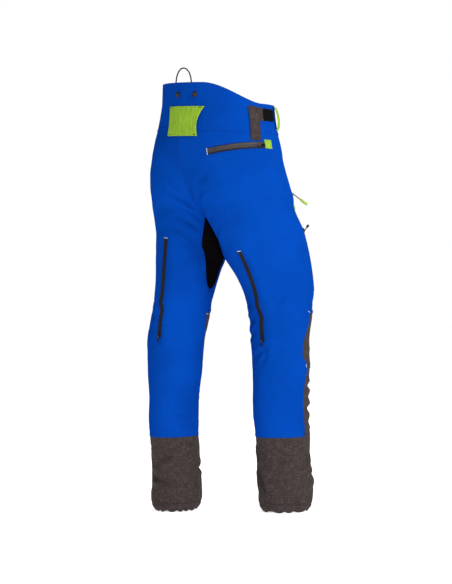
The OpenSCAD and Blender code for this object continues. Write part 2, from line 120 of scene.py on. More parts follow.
def station(rows, h):
    """A smooth curve through the rows of a station table."""
    x = np.clip(h, rows[0, 0], rows[-1, 0])
    n = len(rows)
    low, high = np.maximum(np.arange(n) - 1, 0), np.minimum(np.arange(n) + 1, n - 1)
    slope = (rows[high] - rows[low]) / (rows[high, 0] - rows[low, 0])[:, None]
    i = np.clip(np.searchsorted(rows[:, 0], x, side="right") - 1, 0, n - 2)
    d = (rows[i + 1, 0] - rows[i, 0])[..., None]
    u = (x - rows[i, 0])[..., None] / d
    return ((2 * u**3 - 3 * u**2 + 1) * rows[i] + (u**3 - 2 * u**2 + u) * d * slope[i]
            + (3 * u**2 - 2 * u**3) * rows[i + 1] + (u**3 - u**2) * d * slope[i + 1])


def outline(side, t, h):
    """The level section of one side of the garment at height h."""
    torso, leg = station(TORSO, h), station(LEG[side], h)
    s, turn = np.sin(np.pi * t), np.radians(leg[..., 5])
    depth = np.where(t < 0.5, torso[..., 2], torso[..., 3])
    trunk = np.stack([torso[..., 1] * s, -np.cos(np.pi * t) * depth], -1)
    drawn = ease(h, JOIN_H, CROTCH_H) * (1 - np.abs(s) ** 0.7)
    cy = leg[..., 2] + (CROTCH_Y - leg[..., 2]) * drawn
    ex, ey = -leg[..., 3] * np.cos(2 * np.pi * t), -leg[..., 4] * np.sin(2 * np.pi * t)
    cx = np.maximum(leg[..., 1], leg[..., 3])
    tube = np.stack([cx + ex * np.cos(turn) - ey * np.sin(turn),
                     cy + ex * np.sin(turn) + ey * np.cos(turn)], -1)
    front = 1 - np.sin(np.pi / 2 * clip((h - CROTCH_H) / FRONT_RISE)) ** 0.8
    rear = 1 - np.sin(np.pi / 2 * clip((h - CROTCH_H) / REAR_RISE)) ** 1.2
    centre = np.where(t < 0.5, front, rear)
    outside = 1 - ease(h, CROTCH_H, HIP_H)
    p = mix(trunk, tube, mix(centre, outside, s * s)[..., None])
    p[..., 0] *= side
    return p


def outward(side, t, h):
    """The level direction out of the surface."""
    d = outline(side, t + 0.004, h) - outline(side, t - 0.004, h)
    n = side * np.stack([d[..., 1], -d[..., 0], np.zeros(d.shape[:-1])], -1)
    return n / np.linalg.norm(n, axis=-1, keepdims=True)


def skin(side, t, h):
    """Points of the plain surface."""
    t, h = np.broadcast_arrays(np.asarray(t, float), np.asarray(h, float))
    p = outline(side, t, h)
    z = h - WAIST_H + TILT * p[..., 0] * ease(h, TILT_LOW, TILT_HIGH)
    return np.concatenate([p, z[..., None]], -1)


def unit(v):
    return v / np.linalg.norm(v, axis=-1, keepdims=True)


def normal(side, t, h):
    """The direction square to the plain surface."""
    t, h = np.broadcast_arrays(np.asarray(t, float), np.asarray(h, float))
    round_ = skin(side, t + 0.004, h) - skin(side, t - 0.004, h)
    up = skin(side, t, h + 2) - skin(side, t, h - 2)
    return side * unit(np.cross(round_, up))


def side_seam(h):
    return 0.42 + 0.08 * ease(h, 800, 960)


def ripstop_edge(h):
    """Where the rear cloth meets the ripstop: it bows backward beside the knee."""
    knee = 0.05 * ease(h, 372, 402) * (1 - ease(h, 425, 500))
    return side_seam(h) + knee + 0.022 * (1 - ease(h, 330, 366))


def waist_edge(side, t):
    """The back stands up high; its edge drops gently on the right, steeply on the left."""
    rise = np.where(np.asarray(side) == LEFT, ease(t, 0.53, 0.68), ease(t, 0.54, 0.90))
    return WAIST_H + BACK_RISE * rise


def gusset_edge(side, h):
    """How far the gusset reaches from the inner seam, as a share of the way round."""
    upper = clip((GUSSET_TOP - h) / (GUSSET_TOP - GUSSET_MID))
    upper = mix(upper, np.sin(np.pi / 2 * upper), 0.7)
    lower = np.sqrt(clip((h - GUSSET_LOW) / (GUSSET_MID - GUSSET_LOW)))
    share = np.where(np.asarray(side) == LEFT, GUSSET_SHARE[LEFT], GUSSET_SHARE[RIGHT])
    return share * np.where(h > GUSSET_MID, upper, lower)


def inner_edge(h):
    """Where the rear cloth wraps forward past the inner seam."""
    return 0.11 * (1 - ease(h, 300, 575))


# ---- Zips ----


class Zip:
    """The line of a zip through three stops [t, h, height over the surface], as in the
    CAD model: an arc in the plane of its ends and the outward direction, or straight."""

    def __init__(self, side, stops, width, kinks=()):
        p = [skin(side, t, h) + off * normal(side, t, h) for t, h, off in stops]
        chord = p[2] - p[0]
        along = unit(chord)
        n = normal(side, stops[1][0], stops[1][1])
        out = unit(n - (n @ along) * along)
        sag = (p[1] - (p[0] + p[2]) / 2) @ out
        self.side, self.width, self.sign, self.kinks = side, width, 1, kinks
        if abs(sag) < 1.5:
            self.bend, self.length = 0, np.linalg.norm(chord)
            self.origin, self.radial, self.forward = p[0], out, along
            self.axis = np.cross(out, along)
            return
        half = np.linalg.norm(chord) / 2
        self.bend = (half**2 + sag**2) / (2 * abs(sag))
        self.sign = 1 if sag > 0 else -1
        self.origin = (p[0] + p[2]) / 2 + (sag - self.sign * self.bend) * out
        self.radial = unit(p[0] - self.origin)
        self.axis = self.sign * np.cross(out, along)
        self.forward = np.cross(self.axis, self.radial)
        self.length = 2 * math.asin(half / self.bend) * self.bend

    def at(self, along):
        """Points on the zip, with the forward, sideways and outward directions there."""
        along = np.asarray(along, float)[..., None]
        if not self.bend:
            p = self.origin + along * self.forward
            return p, self.forward + 0 * p, self.axis + 0 * p, self.radial + 0 * p
        a = along / self.bend
        out = np.cos(a) * self.radial + np.sin(a) * self.forward
        ahead = np.cos(a) * self.forward - np.sin(a) * self.radial
        return self.origin + self.bend * out, ahead, self.sign * self.axis + 0 * out, self.sign * out

    def wander(self, along):
        """How far the worn zip strays sideways from its true line."""
        return sum(size * np.exp(-(((along - where) / reach) ** 2)) for where, reach, size in self.kinks)

    def local(self, p):
        """Distance along, sideways and outward of points, and the outward direction."""
        v = p - self.origin
        a, f, side = v @ self.radial, v @ self.forward, v @ self.axis
        if not self.bend:
            return f, side, a, self.radial + 0 * p
        r = np.hypot(a, f)
        out = self.sign * (v - side[..., None] * self.axis) / r[..., None]
        return np.arctan2(f, a) * self.bend, side * self.sign, (r - self.bend) * self.sign, out


# A vent is bent by the fold behind the knee: distance along, reach, sideways.
HAND_POCKET = [[0.37, 815, 3.4], [0.28, 890, 2.8], [0.21, 965, 3]]
ZIPS = {
    "rear_pocket": Zip(RIGHT, [[0.56, 951, 2.2], [0.70, 940, 2.2], [0.85, 928, 2.2]], POCKET_ZIP_W),
    "hand_pocket_left": Zip(LEFT, HAND_POCKET, POCKET_ZIP_W),
    "hand_pocket_right": Zip(RIGHT, HAND_POCKET, POCKET_ZIP_W),
    "thigh_pocket": Zip(RIGHT, [[0.36, 735, 3.2], [0.37, 655, 3.6], [0.35, 575, 3.2]], POCKET_ZIP_W),
    "vent_left": Zip(LEFT, [[0.745, 451, 2], [0.735, 580, 1.6], [0.76, 708, 2]], VENT_ZIP_W,
                     [(66, 11, -3.4), (92, 11, 3.2)]),
    "vent_right": Zip(RIGHT, [[0.695, 440, 3.2], [0.705, 558, 5.7], [0.728, 674, 6.7]], VENT_ZIP_W,
                      [(62, 12, -3.6), (94, 12, 3.4)]),
    "fly": Zip(LEFT, [[0, 965, 2.2], [0, 885, 2.8], [0, 800, 4]], VENT_ZIP_W)}

# ---- Relief of the cloth ----

# Folds: side (0 for both), from [t, h] to [t, h], depth, half width.
FOLDS = [
    # from the crotch up over the seat
    [0, [0.985, 772], [0.87, 835], 2.0, 9], [0, [0.975, 752], [0.89, 796], 1.2, 7],
    [0, [0.935, 730], [0.85, 768], 0.9, 7], [0, [0.90, 700], [0.80, 742], 0.8, 9],
    [RIGHT, [0.95, 800], [0.84, 880], 1.2, 10], [LEFT, [0.96, 812], [0.90, 880], 1.0, 9],
    [0, [0.90, 790], [0.70, 772], 0.9, 16],
    # behind the knee
    [0, [0.64, 548], [0.82, 536], 1.1, 9], [0, [0.66, 508], [0.86, 492], 1.7, 9],
    [0, [0.70, 470], [0.90, 452], 1.2, 8], [RIGHT, [0.655, 432], [0.76, 398], 2.4, 8],
    [RIGHT, [0.67, 418], [0.72, 376], 1.5, 7], [LEFT, [0.79, 442], [0.68, 424], 1.3, 8],
    [LEFT, [0.60, 520], [0.70, 500], 1.2, 8], [RIGHT, [0.56, 566], [0.62, 530], 1.0, 8],
    # round the front of the thigh and the crotch
    [0, [0.02, 800], [0.17, 852], 2.2, 10], [0, [0.03, 770], [0.14, 792], 2.0, 8],
    [0, [0.06, 735], [0.20, 742], 1.5, 9], [LEFT, [0.10, 690], [0.24, 702], 1.3, 10],
    [0, [0.44, 560], [0.40, 520], 1.5, 7], [RIGHT, [0.43, 586], [0.37, 540], 1.2, 8],
    # the shin and ankle
    [0, [0.16, 334], [0.41, 322], 1.6, 8], [0, [0.12, 300], [0.37, 293], 1.4, 8],
    [0, [0.20, 262], [0.44, 270], 1.6, 9], [0, [0.12, 232], [0.36, 226], 1.3, 8],
    [LEFT, [0.85, 250], [1.02, 236], 1.6, 9], [LEFT, [0.90, 222], [1.04, 214], 1.3, 7],
    [RIGHT, [0.90, 236], [1.03, 224], 1.2, 8], [0, [0.18, 400], [0.36, 404], 1.2, 12],
    # the cuffs
    [RIGHT, [0.84, 122], [0.74, 40], 3.8, 13], [RIGHT, [0.90, 160], [0.80, 104], 2.2, 9],
    [RIGHT, [0.60, 150], [0.66, 84], 1.6, 10], [LEFT, [0.88, 150], [0.70, 118], 2.2, 11],
    [LEFT, [0.64, 92], [0.86, 66], 2.0, 10], [0, [0.36, 150], [0.48, 112], 2.2, 9],
    [0, [0.30, 96], [0.46, 70], 1.8, 9], [0, [0.02, 120], [0.16, 92], 1.8, 9]]

FOLD_DEPTH, FOLD_WIDTH = 2.9, 0.85
rng = np.random.default_rng(7)
# Small creases, scattered: zone from [t, h] to [t, h], how many, lean in degrees, length, depth.
CREASES = [([0.0, 25], [1.0, 180], 46, 18, 42, 0.75), ([0.5, 400], [1.0, 560], 20, 14, 46, 0.6),
           ([0.02, 200], [0.5, 560], 40, 12, 44, 0.8), ([0.5, 190], [1.0, 400], 14, 60, 60, 0.4),
           ([0.78, 700], [0.99, 830], 14, 42, 60, 0.6), ([0.02, 690], [0.3, 900], 20, 38, 56, 0.7),
           ([0.4, 560], [0.9, 960], 16, 70, 90, 0.3), ([0.3, 560], [0.5, 900], 18, 30, 50, 0.5)]


def scatter(side):
    """The small creases of one side, as rows of FOLDS."""
    made = []
    for (t0, h0), (t1, h1), count, lean, long, deep in CREASES:
        for _ in range(count):
            t, h = rng.uniform(t0, t1), rng.uniform(h0, h1)
            a = math.radians(rng.normal(0, 12) + lean * rng.choice([-1, 1]))
            half = long * rng.uniform(0.35, 0.7)
            dt, dh = half * math.cos(a) / GIRTH, half * math.sin(a)
            depth = deep * rng.uniform(0.4, 1.0) / FOLD_DEPTH
            made.append([side, [t - dt, h - dh], [t + dt, h + dh], depth, rng.uniform(4, 8)])
    return made


FOLDS += scatter(LEFT) + scatter(RIGHT)
RIPPLES = [(rng.uniform(0, 2 * np.pi), rng.uniform(0, 2 * np.pi), 2 * np.pi / rng.uniform(low, high), size)
           for low, high, size in [(70, 170, 0.42)] * 9 + [(22, 48, 0.07)] * 9]
GATHERS = 13
THIGH_HOLLOW = 11.0  # how far the cloth falls in between the thighs, under the gusset


def gather(side, t):
    """The folds that the elastic draws the hem into, from 0 on a fold to 1 between two."""
    w = GATHERS * t + 0.45 * np.sin(2 * np.pi * t + side) + 0.22 * np.sin(8 * np.pi * t + 2 * side)
    return np.abs(np.sin(np.pi * w)) ** 0.6


def fold(d, t, h, start, end, depth, width):
    """Adds to d a soft valley with a low ridge on each side of it."""
    width *= FOLD_WIDTH
    ex, ey = (end[0] - start[0]) * GIRTH, end[1] - start[1]
    length = math.hypot(ex, ey)
    near = np.abs(h - (start[1] + end[1]) / 2) < abs(ey) / 2 + 0.2 * length + 3.5 * width
    t, h = t[near], h[near]
    middle = (start[0] + end[0]) / 2
    x = ((t - middle + 0.5) % 1 - 0.5 + middle - start[0]) * GIRTH
    y = h - start[1]
    along = (x * ex + y * ey) / length
    bow = 0.06 * length * np.sin(np.pi * clip(along / length))
    off = np.abs((x * ey - y * ex) / length - bow)
    fade = ease(along, -0.15 * length, 0.3 * length) * (1 - ease(along, 0.6 * length, 1.15 * length))
    shape = 0.5 * np.exp(-((off / width - 1.9) ** 2)) - np.exp(-((off / width) ** 2))
    d[near] += FOLD_DEPTH * depth * fade * shape


def relief(side, t, h):
    """How far the cloth stands out from the plain surface."""
    d = np.zeros(t.shape)
    for fold_side, start, end, depth, width in FOLDS:
        if fold_side in (0, side):
            fold(d, t, h, start, end, depth, width)
    x = t * GIRTH
    for angle, phase, rate, size in RIPPLES:
        d += size * np.sin(rate * (x * np.cos(angle) + h * np.sin(angle)) + phase + side)
    d *= 1 - 0.75 * ease(h, BAND_H - 30, BAND_H)
    from_inner_seam = np.minimum(np.abs(t), np.abs(1 - t))
    at_crotch = ease(h, 630, CROTCH_H) * (1 - ease(from_inner_seam, 0.0, 0.075))
    hollow = (1 - ease(from_inner_seam, 0.05, 0.24)) * ease(h, 545, 630) * (1 - ease(h, 680, 745))
    d -= THIGH_HOLLOW * hollow * (1 - at_crotch)
    over_hem = h + HEM_DROP
    pinch = 1 - 1.6 * gather(side, t)
    d -= 2.6 * (1 - ease(over_hem, 10, 70)) * pinch + 4.5 * (1 - ease(over_hem, -2, 18)) ** 2
    d -= 1.4 * np.exp(-(((over_hem - 22) / 3.5) ** 2))
    return d


def meet_zips(side, p):
    """Lifts the cloth to the underside of each zip, within a hand's breadth of it."""
    for z in ZIPS.values():
        if z.side != side and z is not ZIPS["fly"]:
            continue
        along, across, up, out = z.local(p)
        near = (1 - ease(np.abs(across), z.width / 2 + 2, z.width / 2 + 34)) * (np.abs(up) < 25)
        near = near * ease(along, -38, -4) * (1 - ease(along, z.length + 4, z.length + 38))
        p = p + (near * (-ZIP_THICK / 2 - 0.15 - up))[..., None] * out
    return p


def surface(side, t, h, off=0.0):
    """Points of the finished cloth, off millimetres out. side may be an array of sides."""
    side, t, h, off = np.broadcast_arrays(side, np.asarray(t, float), np.asarray(h, float), off)
    made = np.empty(t.shape + (3,))
    for s in (LEFT, RIGHT):
        m = side == s
        if m.any():
            out = outward(s, t[m], h[m])
            p = skin(s, t[m], h[m]) + relief(s, t[m], h[m])[..., None] * out
            made[m] = meet_zips(s, p) + off[m][..., None] * out
    return made


# ---- Materials ----


class Finish:
    """A node material, with short calls for its nodes. Cloth is laid out in metres on
    the UV map named cloth, so a weave keeps its real size."""

    def __init__(self, name, **values):
        self.material = bpy.data.materials.new(name)
        self.material.use_nodes = True
        self.tree = self.material.node_tree
        self.shader = self.tree.nodes["Principled BSDF"]
        for socket, value in values.items():
            self.shader.inputs[socket.replace("_", " ")].default_value = value

    def node(self, kind, inputs=(), **settings):
        n = self.tree.nodes.new("ShaderNode" + kind)
        for key, value in settings.items():
            setattr(n, key, value)
        for key, value in dict(inputs).items():
            self.put(n.inputs[key], value)
        return n

    def put(self, socket, value):
        if isinstance(value, bpy.types.NodeSocket):
            self.tree.links.new(value, socket)
        else:
            socket.default_value = value

    def math(self, operation, a, b=0.0, c=0.0):
        return self.node("Math", {0: a, 1: b, 2: c}, operation=operation).outputs[0]

    def cloth_uv(self):
        uv = self.node("UVMap", uv_map="cloth").outputs[0]
        parts = self.node("SeparateXYZ", {0: uv})
        return uv, parts.outputs[0], parts.outputs[1]

    def wave(self, x, pitch, phase=0.0):
        """A wave from 0 to 1 that repeats every pitch metres."""
        s = self.math("SINE", self.math("MULTIPLY_ADD", x, 2 * math.pi / pitch, phase))
        return self.math("MULTIPLY_ADD", s, 0.5, 0.5)

    def line(self, x, pitch, width):
        """1 on thin lines a pitch apart, 0 between them."""
        share = self.math("FRACT", self.math("DIVIDE", x, pitch))
        off = self.math("ABSOLUTE", self.math("SUBTRACT", share, 0.5))
        return self.ramp(off, 0.5 - width / pitch, 0.5)

    def ramp(self, x, low, high, to_low=0.0, to_high=1.0):
        return self.node("MapRange", {0: x, 1: low, 2: high, 3: to_low, 4: to_high},
                         interpolation_type="SMOOTHSTEP").outputs[0]

    def noise(self, vector, scale, detail=2.0, stretch=(1, 1, 1)):
        v = self.node("VectorMath", {0: vector, 1: stretch}, operation="MULTIPLY").outputs[0]
        return self.node("TexNoise", {"Vector": v, "Scale": scale, "Detail": detail}).outputs[0]

    def blend(self, a, b, share):
        n = self.node("Mix", data_type="RGBA")
        for socket, value in ((n.inputs[0], share), (n.inputs[6], a), (n.inputs[7], b)):
            self.put(socket, value)
        return n.outputs[2]

    def done(self, colour, height=None, depth=0.0002, strength=0.6, roughness=None):
        self.put(self.shader.inputs["Base Color"], colour)
        if roughness is not None:
            self.put(self.shader.inputs["Roughness"], roughness)
        if height is not None:
            bump = self.node("Bump", {"Height": height, "Distance": depth, "Strength": strength})
            self.put(self.shader.inputs["Normal"], bump.outputs[0])
        return self.material


def rgb(r, g, b):
    """A linear colour from the numbers of a screen colour."""
    shares = [v / 255 / 12.92 if v <= 10 else ((v / 255 + 0.055) / 1.055) ** 2.4 for v in (r, g, b)]
    return (*shares, 1.0)


def stretch_cloth():
    """Blue two-way stretch: a fine twill with a soft face."""
    f = Finish("blue_stretch_cloth", Specular_IOR_Level=0.0)
    uv, x, y = f.cloth_uv()
    twill = f.wave(f.math("ADD", x, y), 0.0009)
    rib = f.wave(x, 0.0006)
    cloudy = f.noise(uv, 9, 3)
    fine = f.noise(uv, 900, 2, (1, 0.35, 1))
    tone = f.blend(rgb(5, 63, 158), rgb(5, 69, 170), f.ramp(cloudy, 0.3, 0.7))
    tone = f.blend(tone, rgb(0, 48, 138), f.math("MULTIPLY", f.ramp(twill, 0.75, 0.0), 0.3))
    tone = f.blend(tone, rgb(2, 90, 204), f.math("MULTIPLY", f.ramp(fine, 0.5, 0.7), 0.3))
    height = f.math("MULTIPLY_ADD", twill, 0.7, f.math("MULTIPLY_ADD", rib, 0.3, fine))
    return f.done(tone, height, 0.00016, 0.55, f.ramp(fine, 0.2, 0.8, 0.86, 0.7))


def ripstop_cloth():
    """Grey-brown ripstop: thick uneven threads both ways and a grid of doubled ones."""
    f = Finish("ripstop_cloth", Specular_IOR_Level=0.03)
    uv, x, y = f.cloth_uv()
    warp = f.noise(uv, 620, 2, (1, 0.12, 1))
    weft = f.noise(uv, 620, 2, (0.12, 1, 1))
    grid = f.math("MAXIMUM", f.line(x, 0.0058, 0.001), f.line(y, 0.0058, 0.001))
    over = f.math("MULTIPLY", f.wave(x, 0.0029), f.wave(y, 0.0029, math.pi))
    threads = f.math("MULTIPLY_ADD", warp, 0.5, f.math("MULTIPLY", weft, 0.5))
    tone = f.blend(rgb(46, 40, 40), rgb(84, 74, 72), f.ramp(threads, 0.36, 0.66))
    tone = f.blend(tone, rgb(98, 86, 83), f.math("MULTIPLY", grid, 0.45))
    tone = f.blend(tone, rgb(26, 22, 24), f.math("MULTIPLY", over, 0.7))
    tone = f.blend(tone, rgb(52, 42, 40), f.ramp(f.noise(uv, 60, 3), 0.35, 0.75, 0, 0.5))
    height = f.math("ADD", f.math("ADD", threads, grid), f.math("MULTIPLY", over, -0.6))
    return f.done(tone, height, 0.00035, 0.7, f.ramp(threads, 0.3, 0.7, 0.8, 0.6))


def gusset_cloth():
    """Black stretch knit, with a faint rib."""
    f = Finish("gusset_cloth", Specular_IOR_Level=0.0)
    uv, x, y = f.cloth_uv()
    rib = f.wave(x, 0.0016)
    loops = f.wave(y, 0.001)
    tone = f.blend(rgb(8, 6, 7), rgb(24, 20, 22), f.math("MULTIPLY", rib, f.noise(uv, 40)))
    return f.done(tone, f.math("MULTIPLY", rib, loops), 0.0003, 0.6, 0.78)


def lining_cloth():
    """Grey mesh lining, with small holes."""
    f = Finish("lining_mesh", Specular_IOR_Level=0.2)
    uv, x, y = f.cloth_uv()
    holes = f.math("MULTIPLY", f.wave(x, 0.0026), f.wave(y, 0.0026))
    tone = f.blend(rgb(96, 98, 104), rgb(30, 31, 34), f.ramp(holes, 0.5, 0.8))
    return f.done(tone, f.math("MULTIPLY", holes, -1), 0.0004, 0.8, 0.85)


def lime_cloth():
    """Lime woven tape, with ribs up and down it."""
    f = Finish("lime_cloth", Specular_IOR_Level=0.02)
    uv, x, y = f.cloth_uv()
    rib = f.wave(x, 0.0011)
    streak = f.noise(uv, 260, 2, (1, 0.12, 1))
    tone = f.blend(rgb(129, 170, 41), rgb(155, 192, 66), f.ramp(streak, 0.3, 0.7))
    tone = f.blend(tone, rgb(98, 134, 26), f.math("MULTIPLY", f.ramp(rib, 0.35, 0.0), 0.4))
    return f.done(tone, f.math("ADD", rib, streak), 0.00025, 0.6, 0.68)


def webbing():
    """Black hook-and-loop webbing: a dense short pile."""
    f = Finish("black_webbing", Specular_IOR_Level=0.02)
    uv, x, y = f.cloth_uv()
    pile = f.noise(uv, 1500, 3)
    tone = f.blend(rgb(8, 8, 9), rgb(28, 26, 28), f.ramp(pile, 0.4, 0.75))
    return f.done(tone, pile, 0.0006, 0.9, 0.9)


def coated_tape(name, dark, light, gloss):
    """A zip's coated tape: the coil shows through it as fine ribs at the middle."""
    f = Finish(name, Specular_IOR_Level=0.25)
    uv, x, y = f.cloth_uv()
    ribs = f.wave(x, 0.0015)
    middle = f.ramp(f.math("ABSOLUTE", y), 0.0036, 0.0026)
    tone = f.blend(dark, light, f.noise(uv, 120, 3, (0.3, 1, 1)))
    coil = f.math("MULTIPLY", ribs, middle)
    tone = f.blend(tone, dark, f.math("MULTIPLY", coil, 0.6))
    weave = f.math("MULTIPLY", f.wave(x, 0.0007), f.wave(y, 0.0007))
    return f.done(tone, f.math("MULTIPLY_ADD", weave, 0.3, coil), 0.0003, 0.7,
                  f.ramp(f.noise(uv, 300), 0.3, 0.7, gloss, gloss + 0.15))


def metal(name, tone, worn, roughness, metallic):
    """Metal with a fine grain and bare edges where its finish has rubbed off."""
    f = Finish(name, Metallic=metallic)
    where = f.node("TexCoord").outputs["Object"]
    edge = f.ramp(f.node("NewGeometry").outputs["Pointiness"], 0.52, 0.62)
    grain = f.noise(where, 1400, 3)
    colour = f.blend(tone, worn, f.math("MULTIPLY", edge, f.ramp(f.noise(where, 700), 0.35, 0.65)))
    return f.done(colour, grain, 0.00005, 0.4, f.ramp(grain, 0.3, 0.7, roughness - 0.08, roughness + 0.12))


def plastic(name, dark, light, roughness):
    """Soft moulded rubber or plastic."""
    f = Finish(name, Specular_IOR_Level=0.45)
    where = f.node("TexCoord").outputs["Object"]
    grain = f.noise(where, 1800, 2)
    return f.done(f.blend(dark, light, f.noise(where, 60, 3)), grain, 0.00006, 0.5,
                  f.ramp(grain, 0.3, 0.7, roughness - 0.06, roughness + 0.1))


def thread(name, dark, light):
    """Sewing thread: a tight twist along each stitch."""
    f = Finish(name, Specular_IOR_Level=0.05)
    where = f.node("TexCoord").outputs["Object"]
    twist = f.noise(where, 2600, 2)
    return f.done(f.blend(dark, light, twist), twist, 0.0001, 0.6, 0.62)


def braid():
    """A round braided cord: two crossing sets of strands."""
    f = Finish("braided_cord", Specular_IOR_Level=0.12)
    where = f.node("TexCoord").outputs["Object"]
    x, y, z = f.node("SeparateXYZ", {0: where}).outputs
    left, right = (f.wave(f.math(turn, x, z), 0.0016) for turn in ("ADD", "SUBTRACT"))
    strand = f.math("MULTIPLY", left, right)
    tone = f.blend(rgb(7, 7, 8), rgb(34, 32, 34), f.ramp(strand, 0.3, 0.8))
    return f.done(tone, strand, 0.0004, 0.8, 0.7)


def knit_pad():
    """The layered knit of the cut protection."""
    f = Finish("pad_knit", Specular_IOR_Level=0.2, Sheen_Weight=0.2)
    uv, x, y = f.cloth_uv()
    loops = f.math("MULTIPLY", f.wave(x, 0.004), f.wave(y, 0.003))
    tone = f.blend(rgb(196, 190, 170), rgb(240, 236, 222), f.ramp(loops, 0.2, 0.8))
    return f.done(tone, loops, 0.0008, 0.8, 0.9)


BLUE = stretch_cloth()
RIPSTOP = ripstop_cloth()
GUSSET = gusset_cloth()
LINING = lining_cloth()
LIME = lime_cloth()
WEBBING = webbing()
PAD = knit_pad()
CORD = braid()
VENT_TAPE = coated_tape("vent_zip_tape", rgb(6, 6, 9), rgb(20, 20, 26), 0.5)
POCKET_TAPE = coated_tape("pocket_zip_tape", rgb(44, 40, 44), rgb(84, 75, 76), 0.45)
ENAMEL = metal("black_enamel", rgb(14, 14, 16), rgb(120, 116, 110), 0.32, 0.6)
GUNMETAL = metal("gunmetal", rgb(34, 34, 38), rgb(190, 188, 184), 0.28, 1.0)
STEEL = metal("burnished_steel", rgb(150, 148, 145), rgb(216, 214, 208), 0.3, 1.0)
BRONZE = metal("bronze", rgb(112, 92, 74), rgb(190, 172, 150), 0.38, 1.0)
LIME_RUBBER = plastic("lime_rubber", rgb(150, 184, 60), rgb(184, 210, 100), 0.5)
BLACK_RUBBER = plastic("black_rubber", rgb(14, 14, 16), rgb(34, 33, 36), 0.5)
BLUE_THREAD = thread("blue_thread", rgb(2, 48, 138), rgb(20, 84, 190))
DARK_THREAD = thread("dark_thread", rgb(16, 15, 19), rgb(48, 44, 48))
LIME_THREAD = thread("lime_thread", rgb(120, 160, 40), rgb(186, 214, 90))
WHITE_THREAD = thread("reflective_thread", rgb(170, 172, 176), rgb(238, 240, 244))

# ---- Meshes ----


def make(name, points, faces, material, uv=None, second=None, angle=50):
    """A piece from arrays: points in millimetres, faces all of one size, uv in metres per
    corner. second is a second material with the first and last faces that have it."""
    mesh = bpy.data.meshes.new(name)
    faces = np.asarray(faces, np.int32)
    size = faces.shape[1]
    mesh.vertices.add(len(points))
    mesh.vertices.foreach_set("co", (np.asarray(points) * MM).astype(np.float32).ravel())
    mesh.loops.add(faces.size)
    mesh.loops.foreach_set("vertex_index", faces.ravel())
    mesh.polygons.add(len(faces))
    mesh.polygons.foreach_set("loop_start", np.arange(len(faces), dtype=np.int32) * size)
    mesh.polygons.foreach_set("use_smooth", np.ones(len(faces), bool))
    mesh.materials.append(material)
    if second:
        mesh.materials.append(second[0])
        index = np.zeros(len(faces), np.int32)
        index[second[1]:second[2]] = 1
        mesh.polygons.foreach_set("material_index", index)
    mesh.update(calc_edges=True)
    if uv is not None:
        layer = mesh.uv_layers.new(name="cloth")
        layer.data.foreach_set("uv", uv[faces.ravel()].astype(np.float32).ravel())
    mesh.set_sharp_from_angle(angle=math.radians(angle))
    mesh.validate()
    return place_piece(name, mesh, BODY)


def place_piece(name, data, body):
    piece = bpy.data.objects.new(name, data)
    bpy.context.scene.collection.objects.link(piece)
    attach(piece, body)
    return piece


def grid_faces(rows, columns, first=0, closed=False):
    """Quads over a grid of points, row by row; closed joins the last column to the first."""
    i, j = np.meshgrid(np.arange(columns if closed else columns - 1), np.arange(rows - 1))
    a, b = j * columns + i, j * columns + (i + 1) % columns
    return first + np.stack([a, b, b + columns, a + columns], -1).reshape(-1, 4)


def slab(outer, inner, closed=False):
    """Points and quads of a slab between two grids of points: outer face, inner face, rim.
    Also gives the first and last quads of the inner face."""
    rows, columns = outer.shape[:2]
    n = rows * columns
    front = grid_faces(rows, columns, 0, closed)
    back = grid_faces(rows, columns, n, closed)[:, ::-1]
    index = np.arange(n).reshape(rows, columns)
    borders = [(index[0], False), (index[-1], True)]
    if not closed:
        borders += [(index[:, 0], True), (index[:, -1], False)]
    rims = []
    for line, turned_over in borders:
        a, b = (line, np.roll(line, -1)) if closed else (line[:-1], line[1:])
        rims.append(np.stack([a, b, b + n, a + n] if turned_over else [b, a, a + n, b + n], -1))
    points = np.concatenate([outer.reshape(-1, 3), inner.reshape(-1, 3)])
    faces = np.concatenate([front, back, *rims])
    a, b, c = (points[front[:, k]] for k in (0, 1, 2))
    if (np.cross(b - a, c - a) * (a - points[front[:, 0] + n])).sum() < 0:
        faces = faces[:, ::-1]
    return points, faces, (len(front), 2 * len(front))


FINE = (0, 0.35, 0.9, 1.8, 3.2, 5.5, 8.5)


def spaced(length, step):
    """Shares from 0 to 1 of a length, close together near both ends."""
    ends = np.array(FINE) / length
    n = max(3, round((length - 2 * FINE[-1]) / step))
    middle = np.linspace(ends[-1], 1 - ends[-1], n + 1)[1:-1]
    return np.concatenate([ends, middle, 1 - ends[::-1]])


